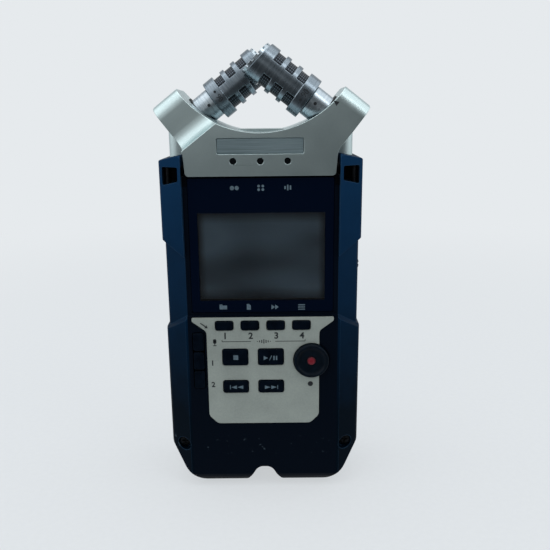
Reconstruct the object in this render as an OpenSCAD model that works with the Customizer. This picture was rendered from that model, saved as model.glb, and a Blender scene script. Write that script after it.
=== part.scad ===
// Handheld stereo recorder with a crossed pair of turning microphones, in millimetres.
// X runs to the right of the display, Y from the display to the back, Z up.
// The origin is under the middle of the part, on the surface it stands on.

/* [Overall] */
// Overall height, to the upper corner of the microphone heads
overall_h = 157.2; // [156.8:0.1:158.5]
// Overall depth, record key to the ribs of the battery cover
overall_d = 37; // [36.9:0.1:37.6]

/* [Body] */
// Width over the two side grips
body_w = 69; // [68.6:0.2:70]
// Height of the grips at their outer edge
grip_h = 120; // [119.6:0.1:121]
// Rise of the grip tops towards the middle
grip_rise = 1.8; // [0.8:0.1:2.6]
// Middle plane to the front of the grips
front_d = 17; // [16.9:0.1:17.4]
// Middle plane to the back face
back_d = 17.9; // [17.7:0.1:18.1]
// Wall thickness of the shells
wall = 2; // [1.8:0.1:2.2]
// Wall thickness of the back face
back_wall = 3.6; // [3.4:0.1:3.8]
// Width of the slanted side faces seen from the front
bevel_w = 8.1; // [7.8:0.1:8.4]
// Depth of the slanted side faces
bevel_d = 5.5; // [5:0.1:6]
// Width of the display well between the rails
well_w = 52.8; // [52.4:0.1:53.2]
// Middle plane to the floor of the display well
well_d = 15.4; // [15.2:0.1:15.6]
// Wall thickness behind the display well
well_wall = 2.5; // [2.4:0.05:2.6]
// Height of the lower front panel
panel_h = 66.6; // [66.4:0.1:67]
// Middle plane to the lower front panel
panel_d = 16.5; // [16.4:0.1:16.7]
// How far the bottom corners are cut in
corner_in = 9; // [8.4:0.1:9.4]
// How high the bottom corner cuts reach
corner_rise = 16.4; // [15.5:0.1:17.5]
// Rounding of the bottom corners
corner_r = 7.4; // [6:0.1:8]
// Rounding of the bottom front edge
edge_r = 7.5; // [7:0.1:7.6]
// Rounding of the bottom corners where they meet the front edge
front_corner_r = 9; // [8:0.1:9.4]
// Slope of that rounding down towards the back, in degrees
front_corner_tilt = 32; // [28:0.5:36]
// Rounding of the bottom back edge
back_edge_r = 3; // [2:0.1:3.4]
// Width of the bottom notch at the floor
notch_w = 14.8; // [14:0.2:15.4]
// Width of the bottom notch at its top
notch_top_w = 4.9; // [4:0.1:5.6]
// Height of the bottom notch
notch_h = 8; // [7.4:0.1:8.4]
// Rounding of the bottom notch's upper corners
notch_r = 3.4; // [2.8:0.1:3.6]
// Lowest height of the waist at the side
waist_low = 61.1; // [60.9:0.1:61.6]
// Slant of the lower waist line across the grip
waist_slant = 5.4; // [4.8:0.1:5.5]
// Highest height of the waist at the side
waist_high = 93; // [92:0.2:94]
// How far the side is set in at the waist
waist_in = 0.8; // [0.4:0.1:1]
// How far the slanted face is set in at the waist
waist_cut = 1.4; // [1:0.1:1.6]
// Slope of the edge along the lower end of the waist, in degrees
waist_ramp = 45; // [35:1:55]

/* [Fits] */
// Clearance round a fixed piece in its recess
fit = 0.1; // [0.06:0.01:0.15]
// Clearance round a key in its hole
key_gap = 0.25; // [0.2:0.01:0.3]
// Radial clearance of a running fit
run = 0.05; // [0.03:0.01:0.08]

/* [Display] */
// Width of the display window
window_w = 49.2; // [48.6:0.1:50]
// Lower edge of the display window
window_z = 67.5; // [67.4:0.1:67.8]
// Height of the display window
window_h = 46.7; // [46:0.1:46.9]
// Thickness of the display window
window_t = 1.3; // [1.2:0.05:1.4]
// Width of the display opening
view_w = 43.2; // [42:0.2:44]
// Height of the display opening
view_h = 30.6; // [30:0.2:32]
// Height of the middle of the display
view_z = 87.2; // [86.6:0.1:87.8]
// Border of the display panel round its opening
lcd_border = 2.6; // [2:0.1:3]
// Thickness of the display panel
lcd_t = 2.3; // [2.1:0.05:2.4]

/* [Control plate] */
// Top edge of the control plate
plate_top = 66.05; // [65.9:0.05:66.2]
// Width of the control plate along its top edge
plate_top_w = 49.6; // [49:0.1:50.5]
// Width of the control plate below its shoulders
plate_w = 39.6; // [39.3:0.1:40]
// Height of the straight top edge of the shoulders
plate_lip = 1.35; // [1:0.05:1.6]
// Height over which the shoulders slant in
plate_slant = 3.7; // [3.2:0.1:4.2]
// Lower edge of the control plate
plate_low = 25.8; // [25.2:0.1:26.4]
// Size of the cut lower corners of the control plate
plate_cut = 3.1; // [2.5:0.1:3.6]
// Thickness of the control plate
plate_t = 1.2; // [1.1:0.05:1.3]
// How far the control plate stands out of the panel
plate_proud = 0.3; // [0.2:0.05:0.4]

/* [Front keys] */
// Travel of the front keys
key_travel = 0.5; // [0.4:0.05:0.6]
// How far the front keys stand out of the plate
key_proud = 0.5; // [0.3:0.05:0.7]
// How far a key's flange is wider than its cap on each side
key_flange = 0.5; // [0.4:0.05:0.6]
// Thickness of a key's flange
flange_t = 0.8; // [0.7:0.05:0.9]
// Width of a track key
track_w = 6.1; // [5.8:0.1:6.6]
// Height of a track key
track_h = 3.2; // [3:0.05:3.6]
// Spacing of the track keys
track_pitch = 9; // [8.8:0.1:9.2]
// Height of the row of track keys
track_z = 63.1; // [62.9:0.1:63.2]
// Width of the transport keys
trans_w = 8.8; // [8.4:0.1:9.3]
// Height of the stop and play keys
stop_h = 5.9; // [5.6:0.1:6.4]
// Height of the rewind and forward keys
wind_h = 4.5; // [4.2:0.1:5]
// Middle of the left column of transport keys
trans_x = -9.9; // [-10.2:0.1:-9.6]
// Spacing of the two columns of transport keys
trans_pitch = 12.6; // [12.3:0.1:12.8]
// Height of the row with stop and play
stop_z = 51.4; // [51:0.1:52]
// Height of the row with rewind and forward
wind_z = 40.2; // [39.8:0.1:41]
// Radius of the record key
rec_r = 6.2; // [6:0.05:6.5]
// Sideways place of the record key
rec_x = 17; // [16.8:0.05:17.1]
// Height of the record key
rec_z = 50; // [49:0.1:51]
// Radius of the red lens in the record key
rec_lens_r = 1.55; // [1.4:0.05:2]
// Width of an input key
input_w = 3.8; // [3.4:0.05:3.9]
// Height of an input key
input_h = 6.5; // [6:0.1:6.6]
// Spacing of the input keys
input_pitch = 7.1; // [7.1:0.05:7.4]
// Sideways place of the input keys
input_x = -22.75; // [-22.8:0.05:-22.65]
// Height of the middle input key
input_z = 50; // [49:0.1:51]

/* [Boards] */
// Middle plane to the front of the main board
board_d = 10.2; // [10.1:0.05:10.3]
// Thickness of the circuit boards
board_t = 1.6; // [1.4:0.1:1.7]
// Width of the main board
board_w = 54; // [53:0.5:55]
// Lower edge of the main board
board_low = 30; // [29:0.5:31]
// Upper edge of the main board
board_high = 110; // [108:0.5:111]
// Height of a switch on the main board
switch_h = 2; // [1.9:0.05:2.1]
// Width of a switch on the main board
switch_w = 3.4; // [3:0.1:3.8]

/* [Microphone frame] */
// Height at which the microphone frame sits on the body
seat_z = 114.8; // [114.6:0.05:115]
// Half the depth of the microphone frame
frame_d = 16.4; // [16.2:0.1:16.6]
// Width of the frame at its lower edge
slab_w = 50; // [49.4:0.1:50.6]
// Width of the frame at its narrowest above the lower edge
slab_mid_w = 51.2; // [50.8:0.1:51.6]
// Height of that place
slab_mid_z = 123; // [122.6:0.1:123.4]
// Radius of the hollow arc between the horns
arc_r = 34.7; // [34:0.1:35.5]
// How far the lowest point of the arc is under the upper corner of the microphone heads
arc_drop = 28.4; // [27.9:0.1:28.7]
// Half width of a horn across the microphone axis
horn_r = 10.4; // [10:0.1:10.8]
// Distance from the microphone tip to the outer end of its horn
horn_end = 39.8; // [39.4:0.1:40.4]
// Rounding along the outer edges of the horns
horn_round = 5.4; // [4.6:0.1:5.8]
// Middle plane to the set-back face of a horn
cove_d = 9.5; // [9:0.1:10]
// Rounding of the hollow beside a set-back horn
cove_r = 6; // [5:0.1:6.4]
// How far below the microphone axis that hollow starts
cove_low = 7; // [6.6:0.1:7.4]
// Width of the neck under the horns
neck_w = 63.6; // [63:0.1:64]
// Depth of the neck under the horns
neck_d = 14; // [13:0.1:15]
// Height at which the neck sits on the grips
neck_z = 119.9; // [119.7:0.05:119.9]
// Rounding of the neck's upright edges
neck_r = 4.5; // [3.5:0.1:5]
// Width of the plaque recess
badge_w = 28.4; // [27.6:0.1:29.2]
// Height of the plaque recess
badge_h = 4.9; // [4.6:0.1:5.4]
// Height of the middle of the plaque
badge_z = 124.6; // [124.4:0.1:124.9]
// Thickness of the plaque
badge_t = 0.5; // [0.4:0.05:0.6]
// Depth of the plaque recess
badge_depth = 0.8; // [0.7:0.05:0.9]
// Radius of an indicator lens
led_r = 1.05; // [0.95:0.05:1.2]
// Spacing of the indicator lenses
led_pitch = 9; // [8.6:0.1:9.4]
// Height of the indicator lenses
led_z = 119.7; // [119.4:0.1:119.9]
// Length of an indicator lens
led_l = 3; // [2.6:0.1:3.2]

/* [Microphones] */
// Slope of the microphone axes
mic_pitch = 37.5; // [37:0.1:38]
// How far a head face is turned from square to its axis
head_skew = 7.5; // [7:0.1:8]
// Distance between the two microphone axes in depth
mic_gap = 16; // [15.6:0.1:16.4]
// How far a microphone tip reaches past the middle
tip_over = 1.4; // [1:0.1:1.8]
// Radius of a microphone barrel
barrel_r = 6.8; // [6.6:0.05:6.9]
// Wall thickness of a barrel
barrel_wall = 0.75; // [0.7:0.05:0.8]
// Distance from the tip to the base of a barrel
barrel_l = 22.2; // [22:0.1:22.4]
// Radius of the base ring of a barrel
base_r = 7.2; // [7:0.05:7.4]
// Length of the base ring of a barrel
base_l = 4.2; // [3.9:0.1:4.2]
// Distance from the tip to the first slot
slot_start = 5.6; // [5.5:0.05:5.7]
// Length of a slot along the barrel
slot_l = 3; // [2.7:0.05:3]
// Width of a ring between two slots
slot_ring = 1.7; // [1.5:0.05:1.7]
// Half width of the front and back ribs
rib_half = 2.5; // [2.2:0.05:2.8]
// Radius of the crowned grille
crown_r = 6.2; // [6:0.05:6.3]
// Height of the crowned grille over the barrel
crown_h = 1.3; // [1.1:0.05:1.4]
// Radius of a fixed microphone stem
stem_r = 5.3; // [5.1:0.05:5.4]
// Distance from the tip to the inner end of a stem
stem_end = 38; // [37.5:0.1:38.4]
// Radius of the spigot a barrel turns on
spigot_r = 3.5; // [3.2:0.05:3.7]
// Width of a rubber ring round a stem
seal_w = 0.95; // [0.8:0.05:1.1]
// Distance from the tip to the floor of a ring's recess
seal_floor = 29.8; // [29.6:0.05:30]

/* [Bottom sockets] */
// Sideways place of a bottom socket
jack_x = 14; // [13.7:0.1:14.2]
// Radius of a bottom socket
jack_r = 11.1; // [10.9:0.05:11.2]
// Height of the face of a bottom socket
jack_z = 1.6; // [1.5:0.05:1.8]
// Length of a bottom socket
jack_l = 20; // [19.4:0.1:20.2]
// Radius of the plug shell's recess
jack_bore = 9.7; // [9.6:0.05:9.8]
// Radius of the insert inside the recess
insert_r = 7.9; // [7.6:0.05:8]
// Radius of the middle hole for a 6.35 mm plug
plug_r = 3.25; // [3.22:0.01:3.3]
// Depth of the recess and the middle hole
plug_l = 16; // [15.4:0.1:16.4]

/* [Batteries] */
// Radius of an AA cell
cell_r = 7.1; // [7:0.05:7.2]
// Length of an AA cell without its tip
cell_l = 49.5; // [49.2:0.1:49.6]
// Lower edge of the battery tray
tray_z = 24.6; // [24.4:0.1:24.8]
// Wall thickness of the battery tray
tray_wall = 1.2; // [1:0.05:1.3]
// Depth from the front of the battery tray to the back face
tray_d = 17.7; // [17.6:0.05:17.7]
// Width of the battery cover
cover_w = 42; // [41:0.2:43]
// Lower edge of the battery cover
cover_z = 8; // [7.5:0.1:8.5]
// Upper edge of the battery cover
cover_top = 82; // [81.5:0.1:82.5]
// Thickness of the battery cover
cover_t = 1.5; // [1.4:0.05:1.55]
// Width of a tongue along the battery cover
tongue_w = 0.8; // [0.6:0.05:1]

/* [Back] */
// Height of the tripod insert
tripod_z = 88.5; // [88:0.1:89]
// Radius of the tripod insert
tripod_r = 4.6; // [4.4:0.05:4.8]
// Radius of the tripod thread
thread_r = 3.175; // [3.1:0.025:3.25]
// Depth of the tripod thread
thread_l = 7; // [6.5:0.1:7.4]
// Height of the speaker
speaker_z = 103.4; // [103.2:0.1:103.6]
// Radius of the speaker
speaker_r = 8.6; // [8.2:0.1:8.8]
// Sideways place of the external microphone socket
ext_x = 19; // [18:0.1:20]
// Height of the external microphone socket
ext_z = 94; // [93:0.1:95]

/* [Side controls] */
// Middle plane to the row of side controls
port_y = 5; // [4.8:0.1:5.2]
// Radius of a small socket
socket_r = 3.3; // [3.1:0.05:3.5]
// Radius of a 3.5 mm plug hole
mini_r = 1.8; // [1.78:0.01:1.84]
// Depth of a 3.5 mm plug hole
mini_l = 12; // [11.5:0.1:12.2]
// Length of a rocker
rocker_l = 14; // [13:0.1:14.4]
// Width of a rocker
rocker_w = 4; // [3.6:0.1:4.2]
// How far a rocker stands out of the side
rocker_out = 1; // [0.7:0.05:1.1]
// Radius of the pivots that a rocker turns on
pivot_r = 0.7; // [0.6:0.05:0.8]
// Height of the rocker on the left side
volume_z = 79.5; // [79:0.1:80.5]
// Height of the rocker on the right side
level_z = 104; // [103.5:0.1:104.5]
// Height of the headphone socket
phone_z = 99; // [98.5:0.1:99.5]
// Height of the slide switch
power_z = 54; // [53.6:0.1:54.4]
// Travel of the slide switch each way
power_travel = 2.5; // [2:0.1:2.6]
// Height of the data socket
usb_z = 41; // [40.6:0.1:41.4]
// Height of the power socket
dc_z = 31; // [30.8:0.1:31.4]
// Radius of the power socket
dc_r = 4; // [3.8:0.05:4.1]
// Radius of the thumb wheel
dial_r = 7; // [6.8:0.05:7.1]
// Thickness of the thumb wheel
dial_t = 4.4; // [4.2:0.1:4.6]
// How far the thumb wheel stands out of the waist
dial_out = 1.9; // [1.7:0.05:2]
// Height of the thumb wheel
dial_z = 80.5; // [80:0.1:81]
// Travel of the thumb wheel when pushed
dial_push = 0.5; // [0.4:0.05:0.6]
// Radius of the thumb wheel's axle
axle_r = 1.2; // [1.1:0.05:1.3]
// Height of the round side key
menu_z = 68; // [67.6:0.1:68.4]
// Radius of the round side key
menu_r = 2.5; // [2.3:0.05:2.6]

/* [Memory card] */
// Middle plane to the middle of the card
card_y = 5.4; // [5.3:0.05:5.5]
// Height of the middle of the card
card_z = 44; // [43.6:0.1:44.4]
// Width of the card
card_w = 24; // [23.9:0.05:24.1]
// Length of the card
card_l = 32; // [31.8:0.1:32.2]
// Thickness of the card
card_t = 2.1; // [2:0.05:2.2]
// Height of the card cover
flap_h = 29.6; // [29:0.1:30]
// Depth of the card cover from its pin to its free edge
flap_d = 7; // [6.8:0.05:7.2]
// Thickness of the card cover
flap_t = 1.4; // [1.3:0.05:1.5]
// Radius of the card cover's pin
flap_pin_r = 0.45; // [0.4:0.01:0.5]
// Middle plane to the card cover's pin
flap_pin_y = 2; // [1.9:0.05:2.1]

/* [Small hardware] */
// Radius of a screw head
screw_head_r = 1.9; // [1.8:0.05:2]
// Height of a screw head
screw_head_h = 1.2; // [1.1:0.05:1.3]
// Radius of a screw's shank
screw_r = 1.1; // [1:0.05:1.2]
// Radius of a screw's recess
screw_well_r = 2.5; // [2.4:0.05:2.6]
// Sideways place of the front screws
front_screw_x = 29.6; // [29.4:0.05:29.8]
// Height of the front screws
front_screw_z = 16.8; // [16.5:0.1:17.1]
// Sideways place of the back screws
back_screw_x = 23; // [22.5:0.1:23.5]
// Height of the back screws
back_screw_z = 107.5; // [107.3:0.1:107.7]
// Radius of a strap pin
strap_r = 0.7; // [0.6:0.05:0.8]
// Sideways place of a strap pin
strap_x = 31.2; // [31:0.05:31.4]
// Middle plane to a strap pin
strap_d = 12; // [11.8:0.05:12.2]
// Lower edge of a strap pocket on its outer side
strap_low = 111.7; // [111.5:0.1:112]
// Upper edge of a strap pocket
strap_high = 117.9; // [117.5:0.1:118]

/* [Hidden] */
$fn = 48;

rubber_black = [0.09, 0.1, 0.12];
gloss_black = [0.02, 0.03, 0.05];
silver = [0.66, 0.69, 0.69];
plate_silver = [0.6, 0.63, 0.63];
mesh_grey = [0.2, 0.22, 0.24];
steel = [0.75, 0.76, 0.78];
brass = [0.72, 0.58, 0.3];
board_green = [0.08, 0.28, 0.16];
key_black = [0.05, 0.06, 0.08];

half_w = body_w / 2;
bevel_len = norm([bevel_w, bevel_d]);
corner_len = norm([corner_in, corner_rise]);
body_top = grip_h + grip_rise;
deck_z = seat_z - wall;
panel_in = panel_d - wall;
well_in = well_d - well_wall;
back_in = back_d - back_wall;
side_in = half_w - wall;
waist_x = half_w - waist_in;
plate_face = panel_d + plate_proud;
key_face = plate_face + key_proud;
flange_face = panel_in - 0.2;
post_end = board_d + switch_h + key_travel + 0.2;
tip_z = overall_h - crown_r * cos(mic_pitch + head_skew);
arc_low = overall_h - arc_drop;
bore_r = barrel_r - barrel_wall;
tray_w = 4 * cell_r + 2 * tray_wall + 0.6;
tray_h = cell_l + 2 * tray_wall + 3;
tray_y = back_d - tray_d;
tray_back = back_d - cover_t - 0.15;
cell_y = tray_y + tray_wall + cell_r + 0.2;
dial_x = waist_x + dial_out - dial_r;
flap_x = half_w - flap_t / 2;
card_x = half_w - flap_t - 1 - card_l / 2;
trans_x2 = trans_x + trans_pitch;
pivot_x = side_in - 1.05;
lug_y = rocker_w / 2 + 0.9;

// Points of a round stretch that takes off the corner p between a and b.
function unit(v) = v / norm(v);
function turn(d) = d > 180 ? d - 360 : (d < -180 ? d + 360 : d);
function round_corner(a, p, b, r, n) =
  let (u = unit(a - p), w = unit(b - p), h = acos(u * w) / 2)
  let (c = p + unit(u + w) * r / sin(h), s = p + u * r / tan(h) - c, e = p + w * r / tan(h) - c)
  let (a0 = atan2(s[1], s[0]), d = turn(atan2(e[1], e[0]) - a0))
  [for (i = [0:n]) c + r * [cos(a0 + d * i / n), sin(a0 + d * i / n)]];
function xy(p) = [p[0], p[1]];
// Outline from corners written as x, y and rounding.
function rounded(p, n = 6) = [for (i = [0:len(p) - 1])
  each (p[i][2] > 0
    ? round_corner(xy(p[(i + len(p) - 1) % len(p)]), xy(p[i]), xy(p[(i + 1) % len(p)]), p[i][2], n)
    : [xy(p[i])])];
// Closed outline from its right-hand half.
function both_halves(p) = concat(p, [for (i = [len(p) - 1:-1:0]) [-p[i][0], p[i][1], p[i][2]]]);

module along_y(y0, y1) {
  translate([0, y1, 0]) rotate([90, 0, 0]) linear_extrude(y1 - y0) children();
}
module along_x(x0, x1) {
  translate([x0, 0, 0]) rotate([90, 0, 90]) linear_extrude(x1 - x0) children();
}
module along_z(z0, z1) {
  translate([0, 0, z0]) linear_extrude(z1 - z0) children();
}
module round_rect(w, h, r) {
  polygon(rounded(both_halves([[w / 2, -h / 2, r], [w / 2, h / 2, r]])));
}
module both_sides() {
  children();
  mirror([1, 0, 0]) children();
}
// Puts a piece on the right microphone's axis, with local Z towards the tip.
module at_mic() {
  translate([-tip_over, -mic_gap / 2, tip_z]) rotate([0, mic_pitch - 90, 0]) children();
}
module other_mic() {
  rotate([0, 0, 180]) children();
}
module front_half() {
  intersection() {
    children();
    translate([-100, -50, -10]) cube([200, 50, 200]);
  }
}
module rear_half() {
  intersection() {
    children();
    translate([-100, 0, -10]) cube([200, 50, 200]);
  }
}

// Body outline seen from the front, set in by o, with its flat top at height t when t is given.
function floor_x(o) = half_w - corner_in + o * (corner_in - corner_len) / corner_rise;
function side_z(o) = corner_rise + o * (corner_len - corner_rise) / corner_in;
function body_lower(o) = [
  [notch_top_w / 2 + o, notch_h + o, notch_r],
  [notch_w / 2 + o, o, 2.4],
  [floor_x(o), o, corner_r - o],
  [half_w - o, side_z(o), 4]];
function body_outline() = both_halves(concat(body_lower(0),
  [[half_w, grip_h, 1], [well_w / 2, body_top, 0]]));
function cavity_outline() = both_halves(concat(body_lower(wall), [[side_in, deck_z, 1]]));

// Body section seen from above, with its sides, slanted faces, front and back set in.
function bevel_x(b, f) = half_w - bevel_w + (f * bevel_w - b * bevel_len) / bevel_d;
function bevel_y(s, b) = bevel_d + (b * bevel_len - bevel_d * s) / bevel_w;
function body_section(s, b, f, g) = both_halves([
  [bevel_x(b, f), f - front_d, 0.5],
  [half_w - s, bevel_y(s, b) - front_d, 2],
  [half_w - s, back_d - bevel_y(s, b), 2],
  [bevel_x(b, g), back_d - g, 1]]);

module outer_body() {
  intersection() {
    along_y(-front_d - 1, back_d + 1) polygon(rounded(body_outline()));
    along_z(-1, body_top + 1) polygon(rounded(body_section(0, 0, 0, 0), 4));
    along_x(-half_w - 1, half_w + 1) polygon(rounded([[-front_d, 0, edge_r], [back_d, 0, back_edge_r],
      [back_d, body_top, 1.5], [-front_d, body_top, 1.5]]));
  }
}
module cavity_layer(z0, z1, b, face) {
  along_z(z0, z1) polygon(rounded(body_section(wall, b, front_d - face, back_wall), 3));
}
module body_cavity() {
  intersection() {
    along_y(-front_d, back_d) polygon(rounded(cavity_outline(), 4));
    along_x(-half_w, half_w) polygon(rounded([[wall - front_d, wall, edge_r - wall], [back_d, wall, 0],
      [back_d, body_top, 0], [wall - front_d, body_top, 0]]));
    union() {
      cavity_layer(-1, waist_low - 0.5, wall, panel_in);
      cavity_layer(waist_low - 0.5, panel_h - 0.5, wall + waist_cut, panel_in);
      cavity_layer(panel_h - 0.5, grip_h, wall + waist_cut, well_in);
    }
  }
}
module waist_cuts() {
  drop = waist_slant / bevel_w;
  difference() {
    both_sides() along_y(-front_d - 1, back_d + 1) polygon([
      [well_w / 2, waist_low + waist_slant],
      [half_w + 3, waist_low - 3 * drop],
      [half_w + 3, waist_high + 3 * drop],
      [well_w / 2, waist_high - waist_slant]]);
    along_z(0, grip_h) polygon(rounded(body_section(waist_in, waist_cut, 0, 0), 4));
  }
}
// Sloped edge along the lower end of the waist, on the right-hand front.
module waist_edge() {
  s = waist_cut / bevel_len;
  l = norm([bevel_len, waist_slant]);
  rise = s * bevel_d * waist_slant / bevel_w;
  translate([half_w - s * bevel_d, bevel_d - front_d + s * bevel_w, waist_low + rise])
    rotate([0, 0, atan2(bevel_d, bevel_w)]) rotate([0, atan2(waist_slant, bevel_len), 0])
    rotate([waist_ramp, 0, 0]) translate([0.8 - l, -4, 0]) cube([l + 3, 4, 4]);
}
// Round cut that takes off the bottom corner on the right-hand front, along a line that slopes down
// towards the back and touches the rounded front edge.
module front_corner_cut() {
  a = front_corner_tilt;
  k = corner_in / corner_rise;
  y0 = edge_r * (1 - sin(a)) - front_d;
  z0 = edge_r * (1 - cos(a));
  drop = (y0 + front_d - (bevel_w - corner_in) * bevel_d / bevel_w) * sin(a) + z0 * cos(a);
  lean = k / (k * sin(a) * bevel_d / bevel_w + cos(a));
  corner = [drop * lean, 0];
  curve = round_corner([-40, 0], corner, corner + 40 * [lean, 1], front_corner_r, 8);
  translate([half_w - corner_in, y0, z0]) rotate([90 - a, 0, 0]) translate([0, 0, -40])
    linear_extrude(60)
    polygon(concat(curve, [[40, curve[8][1]], [40, -10], [curve[0][0], -10]]));
}
// Hollows that both halves of the body share.
module shared_cuts() {
  body_cavity();
  waist_cuts();
  translate([-well_w / 2, -25, seat_z]) cube([well_w, 50, 30]);
  along_z(neck_z, neck_z + 20) round_rect(neck_w + 2 * fit, neck_d + 2 * fit, neck_r);
  both_sides() translate([jack_x, 0, -1]) cylinder(r = jack_r + fit, h = notch_h + wall + 2);
}

function key_spots() = [
  [-1.5 * track_pitch, track_z, track_w, track_h],
  [-0.5 * track_pitch, track_z, track_w, track_h],
  [0.5 * track_pitch, track_z, track_w, track_h],
  [1.5 * track_pitch, track_z, track_w, track_h],
  [trans_x, stop_z, trans_w, stop_h],
  [trans_x2, stop_z, trans_w, stop_h],
  [trans_x, wind_z, trans_w, wind_h],
  [trans_x2, wind_z, trans_w, wind_h],
  [input_x, input_z + input_pitch, input_w, input_h],
  [input_x, input_z, input_w, input_h],
  [input_x, input_z - input_pitch, input_w, input_h]];
module key_holes() {
  for (k = key_spots()) {
    translate([k[0], 0, k[1]]) along_y(-20, -panel_in + 1)
      round_rect(k[2] + 2 * key_gap, k[3] + 2 * key_gap, 0.9);
  }
  translate([input_x, 0, input_z]) along_y(-20, -panel_in + 1)
    round_rect(input_w + 2 * key_gap, 2 * input_pitch + input_h + 2 * key_gap, 0.9);
  translate([rec_x, 1 - panel_in, rec_z]) rotate([90, 0, 0]) cylinder(r = rec_r + key_gap, h = 10);
}
function plate_outline(c) = both_halves([
  [plate_top_w / 2 + c, plate_top + c, 0.4],
  [plate_top_w / 2 + c, plate_top - plate_lip, 0.8],
  [plate_w / 2 + c, plate_top - plate_lip - plate_slant, 2],
  [plate_w / 2 + c, plate_low + plate_cut, 2.6],
  [plate_w / 2 - plate_cut + c, plate_low - c, 2.6]]);
module strap_pocket() {
  along_y(-front_d - 1, -strap_d + 1.5) polygon(rounded([
    [half_w - bevel_w + 1.1, strap_low + 1.5, 0.5], [half_w - 1.3, strap_low, 0.5],
    [half_w - 1.3, strap_high, 0.5], [half_w - bevel_w + 1.1, strap_high, 0.5]], 3));
  translate([strap_x, -strap_d, strap_low - 0.6]) cylinder(r = strap_r + run, h = 7.4);
}
module flap_pocket() {
  translate([half_w - flap_t - fit, -flap_pin_y - flap_d - fit, card_z - flap_h / 2 - fit])
    cube([10, flap_d + fit, flap_h + 2 * fit]);
  translate([flap_x, -flap_pin_y, card_z - flap_h / 2 - fit])
    cylinder(r = flap_t / 2 + fit, h = flap_h + 2 * fit);
  translate([flap_x, -flap_pin_y - flap_t / 2 - fit, card_z - flap_h / 2 - fit])
    cube([10, flap_t + 2 * fit, flap_h + 2 * fit]);
  translate([flap_x, -flap_pin_y, card_z - flap_h / 2 - 1.5])
    cylinder(r = flap_pin_r + run, h = flap_h + 3);
  translate([side_in - 1, -card_y - card_t / 2 - 0.4, card_z - card_w / 2 - 0.5])
    cube([10, card_t + 0.8, card_w + 1]);
}
module front_screw_boss(r, d0, d1) {
  both_sides() translate([front_screw_x, -d0, front_screw_z]) rotate([90, 0, 0])
    cylinder(r = r, h = d1 - d0);
}
front_screw_floor = 11.4;
module front_shell() {
  color(rubber_black) difference() {
    union() {
      front_half() difference() {
        outer_body();
        shared_cuts();
      }
      intersection() {
        outer_body();
        front_screw_boss(screw_well_r + 1, 1, front_screw_floor + 1.6);
      }
    }
    translate([-well_w / 2, -30, panel_h]) cube([well_w, 30 - well_d, 60]);
    translate([-half_w, -30, -1]) cube([body_w, 30 - panel_d, panel_h + 1]);
    translate([-window_w / 2 - fit, window_t - well_d - 0.1 - 2, window_z - fit])
      cube([window_w + 2 * fit, 2, window_h + 2 * fit]);
    translate([-view_w / 2, -20, view_z - view_h / 2]) cube([view_w, 20, view_h]);
    along_y(-30, plate_t - plate_face) polygon(rounded(plate_outline(fit), 4));
    key_holes();
    both_sides() {
      strap_pocket();
      waist_edge();
      front_corner_cut();
    }
    flap_pocket();
    front_screw_boss(screw_well_r, front_screw_floor, 20);
    front_screw_boss(screw_r + run, 3, 20);
  }
}

module slots_2d() {
  for (i = [-3:3]) translate([i * 2.4, 0]) round_rect(1.3, 11 - abs(i), 0.6);
}
module back_screw_boss(r, y0, y1) {
  both_sides() translate([back_screw_x, y1, back_screw_z]) rotate([90, 0, 0])
    cylinder(r = r, h = y1 - y0);
}
back_screw_floor = back_in + 0.4;
power_slot = 3 + 2 * power_travel + 1;
module left_hole(z, w, h, r) {
  translate([0, 0, z]) along_x(-half_w - 1, -side_in + 1.5) translate([port_y, 0]) round_rect(w, h, r);
}
module right_hole(z, w, h, r) {
  translate([0, 0, z]) along_x(side_in - 1.5, half_w + 1) translate([port_y, 0]) round_rect(w, h, r);
}
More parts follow.
